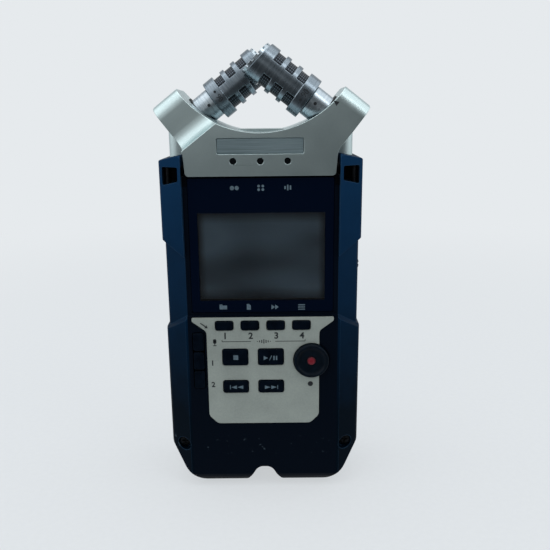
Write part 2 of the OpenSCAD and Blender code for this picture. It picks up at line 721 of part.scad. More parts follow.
// Ears inside the side wall that carry a rocker's pivots, on the right-hand side.
module rocker_ears() {
  for (y = [-lug_y - 1, lug_y])
    translate([pivot_x - 1.3, port_y + y, -1.4]) cube([side_in - pivot_x + 1.6, 1, 2.8]);
}
module pivot_rod(r, y) {
  translate([pivot_x, port_y + y, 0]) rotate([90, 0, 0]) cylinder(r = r, h = 2 * y);
}
module rear_shell() {
  color(rubber_black) difference() {
    union() {
      rear_half() difference() {
        outer_body();
        shared_cuts();
      }
      translate([0, 0, level_z]) rocker_ears();
      mirror([1, 0, 0]) translate([0, 0, volume_z]) rocker_ears();
      back_screw_boss(screw_well_r + 1, 1, back_in + 0.5);
      translate([0, back_in + 0.5, tripod_z]) rotate([90, 0, 0]) cylinder(r = tripod_r + 1.6, h = 5.5);
    }
    translate([-cover_w / 2 - fit, back_d - cover_t - fit, -1])
      cube([cover_w + 2 * fit, 5, cover_top + fit + 1]);
    translate([-cover_w / 2 - tongue_w - fit, back_d - cover_t - fit, -1])
      cube([cover_w + 2 * tongue_w + 2 * fit, 0.7 + 2 * fit, cover_top + fit + 1]);
    translate([-tray_w / 2 - fit, 1, tray_z - fit]) cube([tray_w + 2 * fit, 30, tray_h + 2 * fit]);
    translate([0, 0, speaker_z]) along_y(back_in - 1, back_d + 1) slots_2d();
    translate([0, back_d + 1, tripod_z]) rotate([90, 0, 0])
      cylinder(r = tripod_r + run, h = thread_l + 2);
    translate([ext_x, back_d + 1, ext_z]) rotate([90, 0, 0]) cylinder(r = socket_r + fit, h = 10);
    back_screw_boss(screw_well_r, back_screw_floor, 25);
    back_screw_boss(screw_r + run, 5, 25);
    left_hole(phone_z, 2 * (socket_r + fit), 2 * (socket_r + fit), socket_r + fit - 0.01);
    left_hole(dc_z, 2 * (dc_r + fit), 2 * (dc_r + fit), dc_r + fit - 0.01);
    left_hole(usb_z, 4.2 + 2 * fit, 8 + 2 * fit, 2 * fit);
    left_hole(volume_z, rocker_w + 2 * key_gap, rocker_l + 2 * key_gap, 1.2);
    left_hole(power_z, 2.4, power_slot, 1);
    translate([0, 0, power_z]) along_x(-half_w - 1, -half_w + 0.8) translate([port_y, 0])
      round_rect(5, 8 + 2 * power_travel + 0.8, 0.6);
    right_hole(level_z, rocker_w + 2 * key_gap, rocker_l + 2 * key_gap, 1.2);
    right_hole(menu_z, 2 * (menu_r + key_gap), 2 * (menu_r + key_gap), menu_r + key_gap - 0.01);
    right_hole(dial_z, dial_t + 2 * key_gap, 2 * dial_r + 2 * key_gap, 1);
    translate([0, 0, level_z]) pivot_rod(pivot_r + run, lug_y + 2);
    mirror([1, 0, 0]) translate([0, 0, volume_z]) pivot_rod(pivot_r + run, lug_y + 2);
  }
}

module display_window() {
  color(gloss_black) translate([0, 0, window_z + window_h / 2])
    along_y(-well_d - 0.1, window_t - well_d - 0.1)
    round_rect(window_w, window_h, 0.8);
}
module lcd_panel() {
  color(mesh_grey) translate([0, 0, view_z]) along_y(-well_in, lcd_t - well_in)
    round_rect(view_w + 2 * lcd_border, view_h + 2 * lcd_border, 0.6);
}
module control_plate() {
  color(plate_silver) difference() {
    along_y(-plate_face, plate_t - plate_face) polygon(rounded(plate_outline(0), 4));
    key_holes();
  }
}

module front_key(i, face) {
  k = key_spots()[i];
  color(key_black) translate([k[0], 0, k[1]]) {
    along_y(-face, -flange_face + 0.1) round_rect(k[2], k[3], 0.7);
    along_y(-flange_face, flange_t - flange_face)
      round_rect(k[2] + 2 * key_flange, k[3] + (i > 7 ? 0.3 : 2 * key_flange), 0.7);
    along_y(flange_t - flange_face - 0.1, -post_end) round_rect(2, 2, 0.4);
  }
}
module track_key_1() front_key(0, key_face);
module track_key_2() front_key(1, key_face);
module track_key_3() front_key(2, key_face);
module track_key_4() front_key(3, key_face);
module stop_key() front_key(4, key_face);
module play_key() front_key(5, key_face);
module rewind_key() front_key(6, key_face);
module forward_key() front_key(7, key_face);
module mic_input_key() front_key(8, panel_d + key_proud);
module input_1_key() front_key(9, panel_d + key_proud);
module input_2_key() front_key(10, panel_d + key_proud);

rec_top = overall_d / 2;
rec_dish = rec_top - 0.8;
module record_key() {
  color(key_black) translate([rec_x, 0, rec_z]) rotate([90, 0, 0]) difference() {
    rotate_extrude($fn = 64) polygon([[0, post_end], [1.2, post_end],
      [1.2, flange_face - flange_t], [rec_r + 0.45, flange_face - flange_t],
      [rec_r + 0.45, flange_face], [rec_r, flange_face], [rec_r, rec_top - 0.7],
      [rec_r - 0.25, rec_top - 0.2], [rec_r - 0.7, rec_top], [rec_r - 1.2, rec_top - 0.1],
      [rec_r - 2.2, rec_top - 0.5], [rec_lens_r + 0.6, rec_dish], [0, rec_dish]]);
    translate([0, 0, rec_dish - 2]) cylinder(r = rec_lens_r + run, h = 4);
  }
}
module record_lens() {
  color([0.7, 0.08, 0.12]) translate([rec_x, 0, rec_z]) rotate([90, 0, 0])
    rotate_extrude() polygon([[0, rec_dish - 2], [rec_lens_r, rec_dish - 2], [rec_lens_r, rec_dish],
      [rec_lens_r - 0.4, rec_dish + 0.25], [0, rec_dish + 0.35]]);
}

module main_board() {
  color(board_green) {
    translate([-board_w / 2, -board_d, board_low]) cube([board_w, board_t, board_high - board_low]);
    for (p = [[-14, 92, 12], [6, 96, 9], [-16, 72, 8]])
      translate([p[0], board_t - board_d - 0.1, p[1]]) cube([p[2], 1.3, p[2]]);
  }
}
module one_switch(x, z) {
  translate([x - switch_w / 2, -board_d - switch_h + 0.5, z - switch_w / 2])
    cube([switch_w, switch_h - 0.5, switch_w]);
  translate([x, -board_d - switch_h + 0.6, z]) rotate([90, 0, 0]) cylinder(r = 1, h = 0.6);
}
module key_switches() {
  color(steel) {
    for (k = key_spots()) one_switch(k[0], k[1]);
    one_switch(rec_x, rec_z);
  }
}

horn_u = [cos(mic_pitch), -sin(mic_pitch)];
horn_v = [sin(mic_pitch), cos(mic_pitch)];
horn_corner = [-tip_over, tip_z] + horn_end * horn_u + horn_r * horn_v;
horn_low = [-tip_over, tip_z] + horn_end * horn_u + 1.2 * horn_v;
horn_far = horn_corner - 20 * horn_u;
module frame_outline() {
  difference() {
    polygon(rounded(both_halves([[slab_w / 2, seat_z, 1.2], [slab_mid_w / 2, slab_mid_z, 5],
      [horn_low[0], horn_low[1], 6], [horn_corner[0], horn_corner[1], 1],
      [horn_far[0], horn_far[1], 0]]), 5));
    translate([0, arc_low + arc_r]) circle(r = arc_r, $fn = 120);
  }
}
// Long rounding taken off a horn's outer edge at depth y, facing front or back.
module horn_edge(y, s) {
  translate([horn_r - horn_round + 0.02, y - s * (horn_round - 0.02)]) polygon(concat(
    [for (i = [0:8]) horn_round * [cos(90 * i / 8), s * sin(90 * i / 8)]],
    [[0, s * (horn_round + 1)], [horn_round + 2, s * (horn_round + 1)], [horn_round + 2, 0]]));
}
module horn_cuts() {
  at_mic() translate([0, 0, -horn_end - 5]) linear_extrude(horn_end + 5) {
    polygon(concat([[-cove_low, 50]],
      [for (i = [0:8]) [-cove_low + cove_r - cove_r * cos(90 * i / 8),
        cove_d + mic_gap / 2 + cove_r - cove_r * sin(90 * i / 8)]],
      [[30, cove_d + mic_gap / 2], [30, 50]]));
    horn_edge(cove_d + mic_gap / 2, 1);
  }
  at_mic() translate([0, 0, -horn_end - 5]) linear_extrude(horn_end - 8)
    horn_edge(mic_gap / 2 - frame_d, -1);
}
module stem_bore() {
  at_mic() {
    translate([0, 0, -stem_end - 0.2]) cylinder(r = stem_r + run, h = 30);
    translate([0, 0, -seal_floor]) cylinder(r = stem_r + run + seal_w + fit, h = 20);
  }
}
module whole_frame() {
  difference() {
    union() {
      along_y(-frame_d, frame_d) frame_outline();
      along_z(neck_z, arc_low + 1) round_rect(neck_w, neck_d, neck_r);
    }
    horn_cuts();
    other_mic() horn_cuts();
    stem_bore();
    other_mic() stem_bore();
    translate([-slab_w / 2 + 4, -frame_d + 4, seat_z - 1]) cube([slab_w - 8, 2 * frame_d - 8, 8]);
  }
}
module mic_frame_front() {
  color(silver) difference() {
    front_half() whole_frame();
    translate([0, 0, badge_z]) along_y(-30, badge_depth - frame_d)
      round_rect(badge_w + 2 * fit, badge_h + 2 * fit, 0.5);
    for (i = [-1:1]) translate([i * led_pitch, -frame_d + led_l + 0.5, led_z]) rotate([90, 0, 0])
      cylinder(r = led_r + run, h = 10);
  }
}
module mic_frame_rear() {
  color(silver) rear_half() whole_frame();
}
module badge_insert() {
  color(plate_silver) translate([0, 0, badge_z])
    along_y(badge_depth - badge_t - frame_d, badge_depth - frame_d)
    round_rect(badge_w, badge_h, 0.4);
}
module indicator_lenses() {
  color(gloss_black) for (i = [-1:1]) translate([i * led_pitch, -frame_d + led_l + 0.5, led_z])
    rotate([90, 0, 0]) cylinder(r = led_r, h = led_l);
}

module right_mic_stem() {
  color(silver) at_mic() {
    translate([0, 0, -stem_end]) cylinder(r = stem_r, h = stem_end - barrel_l - 0.2);
    translate([0, 0, -barrel_l - 0.3]) cylinder(r = spigot_r, h = 2.2);
    translate([0, 0, -barrel_l + 1.8]) cylinder(r = spigot_r + 1.2, h = 1);
  }
}
module left_mic_stem() {
  other_mic() right_mic_stem();
}
module one_seal() {
  at_mic() translate([0, 0, -seal_floor]) difference() {
    cylinder(r = stem_r + run + seal_w, h = 1.2);
    translate([0, 0, -1]) cylinder(r = stem_r + run, h = 4);
  }
}
module mic_seals() {
  color(rubber_black) {
    one_seal();
    other_mic() one_seal();
  }
}
// Everything beyond the head face, moved back by d.
module beyond_face(d) {
  rotate([0, head_skew, 0]) translate([-20, -20, -d]) cube([40, 40, 20]);
}
module right_mic_barrel() {
  color(silver) at_mic() difference() {
    union() {
      translate([0, 0, -barrel_l]) cylinder(r = barrel_r, h = barrel_l + 2, $fn = 64);
      translate([0, 0, -barrel_l]) cylinder(r = base_r, h = base_l, $fn = 64);
    }
    translate([0, 0, -barrel_l + 1.6]) cylinder(r = bore_r, h = 30);
    translate([0, 0, -barrel_l - 1]) cylinder(r = spigot_r + run, h = 4);
    beyond_face(crown_h);
    for (i = [0:2], s = [-1, 1])
      translate([s > 0 ? rib_half : -rib_half - 10, -10, -slot_start - slot_l - i * (slot_l + slot_ring)])
        cube([10, 20, slot_l]);
  }
}
module left_mic_barrel() {
  other_mic() right_mic_barrel();
}
module right_mic_mesh() {
  color(mesh_grey) at_mic() difference() {
    translate([0, 0, -barrel_l + 3]) cylinder(r = bore_r - 2 * run, h = barrel_l);
    translate([0, 0, -barrel_l]) cylinder(r = bore_r - 2 * run - 0.35, h = 40);
    beyond_face(crown_h + 1.4);
  }
}
module left_mic_mesh() {
  other_mic() right_mic_mesh();
}
module right_mic_grille() {
  color(steel) at_mic() rotate([0, head_skew, 0]) difference() {
    union() {
      translate([0, 0, -crown_h]) cylinder(r = crown_r, h = crown_h, $fn = 64);
      translate([0, 0, -crown_h - 1.2]) cylinder(r = bore_r - 0.4, h = 1.3);
    }
    translate([0, 0, -0.6]) cylinder(r = crown_r - 1, h = 2);
    translate([0, 0, -crown_h - 2]) cylinder(r = bore_r - 1.2, h = 2.1);
    for (i = [0:13]) rotate([0, 0, i * 360 / 14]) translate([crown_r - 1.4, -0.4, -0.6])
      cube([3, 0.8, 2]);
    for (i = [0:5]) rotate([0, 0, i * 60]) translate([1.9, 0, -4]) cylinder(r = 0.6, h = 8, $fn = 20);
    for (i = [0:11]) rotate([0, 0, i * 30 + 15]) translate([3.7, 0, -4])
      cylinder(r = 0.6, h = 8, $fn = 20);
    translate([0, 0, -4]) cylinder(r = 0.6, h = 8, $fn = 20);
  }
}
module left_mic_grille() {
  other_mic() right_mic_grille();
}
module right_mic_capsule() {
  color(brass) at_mic() translate([0, 0, -5.4]) rotate([0, head_skew, 0])
    cylinder(r = bore_r - 1.1, h = 5.2, center = true);
}
module left_mic_capsule() {
  other_mic() right_mic_capsule();
}

module strap_pins() {
  color(steel) both_sides() translate([strap_x, -strap_d, strap_low - 0.5])
    cylinder(r = strap_r, h = 7.2);
}
module one_screw(l) {
  difference() {
    union() {
      cylinder(r = screw_head_r, h = screw_head_h);
      translate([0, 0, -l]) cylinder(r = screw_r, h = l + 0.1);
    }
    for (a = [0, 90]) rotate([0, 0, a]) translate([-1.2, -0.25, screw_head_h - 0.6]) cube([2.4, 0.5, 2]);
  }
}
module case_screws() {
  color(steel) {
    both_sides() translate([front_screw_x, -front_screw_floor, front_screw_z]) rotate([90, 0, 0])
      one_screw(8);
    both_sides() translate([back_screw_x, back_screw_floor, back_screw_z]) rotate([-90, 0, 0])
      one_screw(8);
  }
}

module input_jack() {
  color(gloss_black) translate([0, 0, jack_z]) difference() {
    cylinder(r = jack_r, h = jack_l, $fn = 64);
    difference() {
      translate([0, 0, -1]) cylinder(r = jack_bore, h = plug_l + 1, $fn = 64);
      translate([0, 0, 0.8]) cylinder(r = insert_r, h = plug_l);
    }
    translate([0, 0, -1]) cylinder(r = plug_r, h = plug_l + 1);
    for (a = [30, 150, 270]) rotate([0, 0, a]) translate([5.4, 0, -1]) cylinder(r = 1.3, h = 12);
  }
}
module input_jack_1() {
  translate([-jack_x, 0, 0]) input_jack();
}
module input_jack_2() {
  translate([jack_x, 0, 0]) input_jack();
}
module input_board() {
  color(board_green) translate([-26, -9, jack_z + jack_l + fit]) cube([52, 18, board_t]);
}

module battery_tray() {
  color(key_black) difference() {
    translate([-tray_w / 2, tray_y, tray_z]) cube([tray_w, tray_back - tray_y, tray_h]);
    translate([tray_wall - tray_w / 2, tray_y + tray_wall, tray_z + tray_wall])
      cube([tray_w - 2 * tray_wall, 40, tray_h - 2 * tray_wall]);
  }
}
module one_cell(x, up) {
  z0 = tray_z + tray_wall + (up ? 1.3 : 1.5);
  translate([x, cell_y, z0]) {
    cylinder(r = cell_r, h = cell_l);
    translate([0, 0, up ? cell_l - 0.1 : -0.9]) cylinder(r = 2.75, h = 1);
  }
}
module batteries() {
  color([0.25, 0.3, 0.36]) {
    one_cell(-cell_r - 0.1, true);
    one_cell(cell_r + 0.1, false);
  }
}
module battery_contacts() {
  color(steel) for (x = [-cell_r - 0.1, cell_r + 0.1])
    for (z = [tray_z + tray_wall, tray_z + tray_h - tray_wall - 0.4])
      translate([x - 4, cell_y - 5, z]) cube([8, 10, 0.4]);
}
module battery_cover() {
  color(rubber_black) {
    translate([-cover_w / 2, back_d - cover_t, cover_z]) cube([cover_w, cover_t, cover_top - cover_z]);
    translate([-cover_w / 2 - tongue_w, back_d - cover_t, cover_z])
      cube([cover_w + 2 * tongue_w, 0.7, cover_top - cover_z]);
    for (i = [0:4]) translate([-9, back_d - 0.1, cover_top - 14 + i * 2.2])
      cube([18, overall_d / 2 - back_d + 0.1, 1]);
  }
}

module speaker() {
  color(key_black) translate([0, back_in - 0.1, speaker_z]) rotate([90, 0, 0]) {
    cylinder(r = speaker_r, h = 2.4);
    translate([0, 0, 2.3]) cylinder(r = speaker_r - 3, h = 1.6);
  }
}
module tripod_insert() {
  color(brass) translate([0, back_d, tripod_z]) rotate([90, 0, 0]) difference() {
    cylinder(r = tripod_r, h = thread_l + 1);
    translate([0, 0, -1]) cylinder(r = thread_r, h = thread_l + 1);
  }
}
module small_socket() {
  difference() {
    cylinder(r = socket_r, h = mini_l + 1.2);
    translate([0, 0, -1]) cylinder(r = mini_r, h = mini_l + 1);
  }
}
module ext_mic_jack() {
  color(key_black) translate([ext_x, back_d - 0.3, ext_z]) rotate([90, 0, 0]) small_socket();
}
module phone_jack() {
  color(key_black) translate([0.3 - half_w, port_y, phone_z]) rotate([0, 90, 0]) small_socket();
}
module usb_port() {
  color(steel) difference() {
    translate([0.3 - half_w, port_y - 2.1, usb_z - 4]) cube([9, 4.2, 8]);
    translate([-half_w - 1, port_y - 1.6, usb_z - 3.5]) cube([7.5, 3.2, 7]);
  }
}
module dc_jack() {
  color(key_black) translate([0.3 - half_w, port_y, dc_z]) rotate([0, 90, 0]) {
    difference() {
      cylinder(r = dc_r, h = 9.5);
      translate([0, 0, -1]) cylinder(r = 2.8, h = 9);
    }
    translate([0, 0, 1]) cylinder(r = 0.85, h = 8);
  }
}
module power_switch() {
  color(key_black) translate([-half_w, port_y, power_z]) {
    translate([-0.9, -2.2, -4]) cube([1.6, 4.4, 8]);
    translate([0.6, -0.9, -1.5]) cube([1.8, 1.8, 3]);
    translate([wall + 0.15, -2, -5]) cube([0.8, 4, 10]);
  }
}
// Rocker on the right-hand side, with its face at x.
module rocker(x) {
  translate([0, port_y, 0]) {
    along_x(side_in - 1.4, x + rocker_out) round_rect(rocker_w, rocker_l, 1);
    along_x(side_in - 1.5, side_in - 0.6) round_rect(rocker_w + 1.2, rocker_l + 1.2, 0.8);
  }
  pivot_rod(pivot_r, lug_y + 0.9);
}
module volume_key() {
  color(key_black) mirror([1, 0, 0]) translate([0, 0, volume_z]) rocker(waist_x);
}
module level_key() {
  color(key_black) translate([0, 0, level_z]) rocker(half_w);
}
module menu_key() {
  color(key_black) translate([0, port_y, menu_z]) rotate([0, 90, 0]) {
    translate([0, 0, side_in - 1]) cylinder(r = menu_r, h = waist_x - side_in + 1.8);
    translate([0, 0, side_in - 1.1]) cylinder(r = menu_r + 0.8, h = 0.9);
  }
}
module dial() {
  color(key_black) translate([dial_x, port_y - dial_t / 2, dial_z]) rotate([-90, 0, 0]) difference() {
    cylinder(r = dial_r, h = dial_t, $fn = 72);
    translate([0, 0, -1]) cylinder(r = axle_r + run, h = 10);
    for (i = [0:23]) rotate([0, 0, i * 15]) translate([dial_r + 0.25, 0, -1])
      cylinder(r = 0.5, h = 10, $fn = 16);
  }
}
module dial_carrier() {
  x0 = tray_w / 2 + 0.75;
  color(steel) translate([0, port_y, dial_z]) {
    translate([x0, -dial_t / 2 - 1.3, -2.5]) cube([1.2, dial_t + 2.6, 5]);
    for (y = [-dial_t / 2 - 1.3, dial_t / 2 + 0.3])
      translate([x0, y, -2.5]) cube([dial_x - x0 + 2.4, 1, 5]);
    translate([dial_x, -dial_t / 2 - 1, 0]) rotate([-90, 0, 0]) cylinder(r = axle_r, h = dial_t + 2);
  }
}

module sd_socket() {
  color(steel) translate([card_x, -card_y, card_z]) difference() {
    translate([-card_l / 2 - 1.5, card_y - board_d + board_t + 0.05, -card_w / 2 - 1.2])
      cube([card_l - 2, board_d - board_t - card_y + card_t / 2 + 0.6, card_w + 2.4]);
    translate([-card_l / 2 - 0.1, -card_t / 2 - fit, -card_w / 2 - fit])
      cube([card_l + 2, card_t + 2 * fit, card_w + 2 * fit]);
  }
}
module sd_card() {
  color(gloss_black) translate([card_x - card_l / 2, -card_y - card_t / 2, card_z - card_w / 2])
    cube([card_l, card_t, card_w]);
}
module sd_cover() {
  color(rubber_black) difference() {
    union() {
      translate([half_w - flap_t, -flap_pin_y - flap_d, card_z - flap_h / 2])
        cube([flap_t, flap_d, flap_h]);
      translate([flap_x, -flap_pin_y, card_z - flap_h / 2]) cylinder(r = flap_t / 2, h = flap_h);
    }
    translate([flap_x, -flap_pin_y, card_z - flap_h]) cylinder(r = flap_pin_r + run, h = 2 * flap_h);
  }
}
module sd_cover_pin() {
  color(steel) translate([flap_x, -flap_pin_y, card_z - flap_h / 2 - 1.4])
    cylinder(r = flap_pin_r, h = flap_h + 2.8);
}

front_shell();
rear_shell();
display_window();
lcd_panel();
control_plate();
track_key_1();
track_key_2();
track_key_3();
track_key_4();
stop_key();
play_key();
rewind_key();
forward_key();
record_key();
record_lens();
mic_input_key();
input_1_key();
input_2_key();
main_board();
key_switches();
mic_frame_front();
mic_frame_rear();
badge_insert();
indicator_lenses();
left_mic_stem();
right_mic_stem();
mic_seals();
left_mic_barrel();
left_mic_mesh();
left_mic_grille();
left_mic_capsule();
right_mic_barrel();
right_mic_mesh();
right_mic_grille();
right_mic_capsule();
strap_pins();
case_screws();
input_jack_1();
input_jack_2();
input_board();
battery_tray();
batteries();
battery_contacts();
battery_cover();
speaker();
tripod_insert();
ext_mic_jack();
phone_jack();
usb_port();
dc_jack();
power_switch();
volume_key();
level_key();
dial();
dial_carrier();
menu_key();
sd_socket();
sd_card();
sd_cover();
sd_cover_pin();
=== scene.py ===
import math

import bmesh
import bpy
from mathutils import Matrix, Vector


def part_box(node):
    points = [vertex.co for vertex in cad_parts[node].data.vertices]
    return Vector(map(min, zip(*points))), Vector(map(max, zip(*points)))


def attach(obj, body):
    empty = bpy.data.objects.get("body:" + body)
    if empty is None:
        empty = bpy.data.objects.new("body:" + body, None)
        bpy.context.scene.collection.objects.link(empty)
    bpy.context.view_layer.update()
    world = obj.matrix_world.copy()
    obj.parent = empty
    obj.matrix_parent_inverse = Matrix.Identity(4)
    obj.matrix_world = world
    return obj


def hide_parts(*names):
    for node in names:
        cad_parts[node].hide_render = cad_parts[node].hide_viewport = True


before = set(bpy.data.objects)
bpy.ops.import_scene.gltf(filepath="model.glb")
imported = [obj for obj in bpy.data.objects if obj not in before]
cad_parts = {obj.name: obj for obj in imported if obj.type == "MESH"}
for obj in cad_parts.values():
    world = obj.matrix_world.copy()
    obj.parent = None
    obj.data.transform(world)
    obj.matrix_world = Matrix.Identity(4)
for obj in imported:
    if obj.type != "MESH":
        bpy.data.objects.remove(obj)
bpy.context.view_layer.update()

MM = 0.001

# Camera
# The picture was taken from the front, a little above the middle, with a slight roll. The
# standing point and the focal length come from the outer sizes of the device. Turns are in degrees.
STAND = Vector((4.8, -226.94, 134.41)) * MM
PAN, DOWN, ROLL = 0.095, 14.2, -0.6
SENSOR_W = 36
FOCAL_PX, FRAME_PX = 633, 550
camera = bpy.data.objects.new("camera", bpy.data.cameras.new("camera"))
bpy.context.scene.collection.objects.link(camera)
camera.data.sensor_width = SENSOR_W
camera.data.lens = SENSOR_W * FOCAL_PX / FRAME_PX
camera.data.clip_start = 10 * MM
camera.matrix_world = (Matrix.Translation(STAND)
                       @ Matrix.Rotation(math.radians(PAN), 4, "Z")
                       @ Matrix.Rotation(math.radians(90 - DOWN), 4, "X")
                       @ Matrix.Rotation(math.radians(ROLL), 4, "Z"))
bpy.context.scene.camera = camera

# Body halves
# Two injection-moulded ABS shells, split at the middle and screwed together. The side rails and
# the back wear a soft rubber coat, and the panel round the control plate is bare smooth ABS.


def linear(code):
    """Linear colour of an sRGB hex code."""
    parts = [int(code[i:i + 2], 16) / 255 for i in (1, 3, 5)]
    return tuple(p / 12.92 if p <= 0.04045 else ((p + 0.055) / 1.055) ** 2.4 for p in parts) + (1.0,)


def add(tree, kind, feeds=None, ramp=(), **settings):
    """Adds one shader node with its settings, its colour stops and what feeds its sockets."""
    node = tree.nodes.new("ShaderNode" + kind)
    for name, value in settings.items():
        setattr(node, name, value)
    for i, (stop, code) in enumerate(ramp):
        element = node.color_ramp.elements[i] if i < 2 else node.color_ramp.elements.new(stop)
        element.position = stop
        element.color = linear(code)
    for socket, value in (feeds or {}).items():
        if isinstance(value, bpy.types.NodeSocket):
            tree.links.new(value, node.inputs[socket])
        else:
            node.inputs[socket].default_value = value
    return node


def new_finish(name):
    """A new material, its emptied node tree and the Object coordinates in it."""
    finish = bpy.data.materials.new(name)
    finish.use_nodes = True
    tree = finish.node_tree
    tree.nodes.clear()
    return finish, tree, add(tree, "TexCoord").outputs["Object"]


def placed(name, shape):
    """Puts a finished bmesh into the scene as an object."""
    mesh = bpy.data.meshes.new(name)
    shape.to_mesh(mesh)
    shape.free()
    piece = bpy.data.objects.new(name, mesh)
    bpy.context.scene.collection.objects.link(piece)
    return piece


def fit(piece, finish, body, slot, *nodes):
    """Gives a new piece its finish and its body, and lets it stand for its CAD nodes."""
    piece.data.materials.clear()
    piece.data.materials.append(finish)
    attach(piece, body)
    if nodes:
        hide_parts(*nodes)


def refit(node, finish, body, slot, width=0.0, segments=2):
    """Puts a merged and evenly shaded copy in a CAD node's place, with edges rounded to a width."""
    crease = math.radians(32)
    shape = bmesh.new()
    shape.from_mesh(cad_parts[node].data)
    bmesh.ops.remove_doubles(shape, verts=shape.verts, dist=0.004 * MM)
    bmesh.ops.dissolve_limit(shape, angle_limit=math.radians(1), verts=shape.verts, edges=shape.edges)
    piece = placed(node + "_finished", shape)
    piece.data.shade_smooth()
    piece.data.set_sharp_from_angle(angle=crease)
    if width:
        soft = piece.modifiers.new("edges", "BEVEL")
        soft.width = width * MM
        soft.segments = segments
        soft.limit_method = "ANGLE"
        soft.angle_limit = crease
        soft.use_clamp_overlap = False
    even = piece.modifiers.new("even_shading", "WEIGHTED_NORMAL")
    even.keep_sharp = True
    fit(piece, finish, body, slot, node)


def dress(finish, *nodes):
    """Gives CAD nodes that stay as they are a finish."""
    for node in nodes:
        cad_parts[node].material_slots[0].material = finish


# Rubber coat sprayed on ABS: a deep, dull navy skin. Over the front it is painted lighter towards the top
# and darker towards the foot, a painted shade of the light from above. The real grain is 0.1 mm and too
# fine to show, so it is drawn at 0.5 mm.
RAIL_X, PANEL_Y = 26.3, -10
rubber, tree, place = new_finish("rubber_coat_sprayed_on_abs")
axes = add(tree, "SeparateXYZ", {"Vector": place}).outputs
mottle = add(tree, "TexNoise", {"Vector": place, "Scale": 1 / (9 * MM), "Detail": 4.0}).outputs["Fac"]
# Painted shade: on the front the coat's colour runs from dark at the foot to lighter at the top.
painted_light_by_height = add(tree, "MapRange", {"Value": axes["Z"], "From Min": 24 * MM, "From Max": 118 * MM,
                                "To Min": -0.05, "To Max": 0.72}).outputs["Result"]
in_front = add(tree, "MapRange", {"Value": axes["Y"], "From Min": -6 * MM,
                                  "From Max": -11 * MM}).outputs["Result"]
wear_and_painted_shade = add(tree, "MapRange", {"Value": in_front, "To Min": 0.3, "To Max": painted_light_by_height}).outputs["Result"]
mottle_and_painted_shade = add(tree, "Math", {0: mottle, 1: 0.22, 2: wear_and_painted_shade}, operation="MULTIPLY_ADD").outputs["Value"]
coat = add(tree, "ValToRGB", {"Fac": mottle_and_painted_shade}, ramp=[(0.1, "#000a15"), (0.95, "#072c4b")]).outputs["Color"]
off_middle = add(tree, "Math", {0: axes["X"]}, operation="ABSOLUTE").outputs["Value"]
rail = add(tree, "Math", {0: off_middle, 1: RAIL_X * MM}, operation="GREATER_THAN").outputs["Value"]
behind = add(tree, "Math", {0: axes["Y"], 1: PANEL_Y * MM}, operation="GREATER_THAN").outputs["Value"]
coated = add(tree, "Math", {0: rail, 1: behind}, operation="MAXIMUM").outputs["Value"]
skin = add(tree, "Mix", {"Factor": coated, "A": linear("#030a15"), "B": coat}, data_type="RGBA").outputs[2]

# The strap pockets are painted near black, a painted shade in the recesses. They
# are cut into the sloped rails and lie behind the rails' faces.
RAIL_SLOPE, RAIL_FACE, FACE_BLUR = 0.679, -34.5, 0.2
POCKET_X, POCKET_Z, POCKET_HALF = 33.4, 114.8, 3.3
behind_face = add(tree, "Math", {0: off_middle, 1: -RAIL_SLOPE, 2: axes["Y"]},
                  operation="MULTIPLY_ADD").outputs["Value"]
painted_pocket_shade = add(tree, "MapRange", {"Value": behind_face, "From Min": (RAIL_FACE - FACE_BLUR) * MM,
                                "From Max": (RAIL_FACE + FACE_BLUR) * MM}).outputs["Result"]
for limit in (add(tree, "Math", {0: axes["Z"], 1: POCKET_Z * MM, 2: POCKET_HALF * MM}, operation="COMPARE"),
              add(tree, "Math", {0: off_middle, 1: POCKET_X * MM}, operation="LESS_THAN"),
              add(tree, "Math", {0: axes["Y"], 1: PANEL_Y * MM}, operation="LESS_THAN")):
    inside = {0: painted_pocket_shade, 1: limit.outputs["Value"]}
    painted_pocket_shade = add(tree, "Math", inside, operation="MULTIPLY").outputs["Value"]
# Painted shade: inside the pockets the skin is mixed to near black.
skin = add(tree, "Mix", {"Factor": painted_pocket_shade, "A": skin, "B": linear("#02040a")}, data_type="RGBA").outputs[2]

# Pale scuffs of 1.8 mm lie in a belt low on the front, where the device is knocked.
KNOCK_Z = 17
above_knock = add(tree, "Math", {0: axes["Z"], 1: KNOCK_Z * MM}, operation="SUBTRACT").outputs["Value"]
off_knock = add(tree, "Math", {0: above_knock}, operation="ABSOLUTE").outputs["Value"]
belt = add(tree, "MapRange", {"Value": off_knock, "From Min": 4 * MM, "From Max": 1 * MM}).outputs["Result"]
belt = add(tree, "Math", {0: belt, 1: in_front}, operation="MULTIPLY").outputs["Value"]
specks = add(tree, "TexNoise", {"Vector": place, "Scale": 1 / (1.8 * MM), "Detail": 3.0}).outputs["Fac"]
scuffs = add(tree, "MapRange", {"Value": specks, "From Min": 0.64, "From Max": 0.71,
                                "To Max": 0.6}).outputs["Result"]
scuffed = add(tree, "Math", {0: belt, 1: scuffs}, operation="MULTIPLY").outputs["Value"]
skin = add(tree, "Mix", {"Factor": scuffed, "A": skin, "B": linear("#46545e")}, data_type="RGBA").outputs[2]

# Along the edges the coat is painted paler, a painted highlight of the light that the edges catch. There
# the rounded normal leaves the flat one.
edge = add(tree, "Bevel", {"Radius": 0.4 * MM}, samples=6).outputs["Normal"]
flat = add(tree, "NewGeometry").outputs["Normal"]
bend = add(tree, "VectorMath", {0: edge, 1: flat}, operation="DOT_PRODUCT").outputs["Value"]
thin = add(tree, "MapRange", {"Value": bend, "From Min": 0.995, "From Max": 0.9,
                              "To Max": 0.4}).outputs["Result"]
# Painted highlight: the rails' edges are mixed towards a pale blue.
painted_edge_highlight = add(tree, "Math", {0: thin, 1: coated}, operation="MULTIPLY").outputs["Value"]
skin = add(tree, "Mix", {"Factor": painted_edge_highlight, "A": skin, "B": linear("#35536f")}, data_type="RGBA").outputs[2]

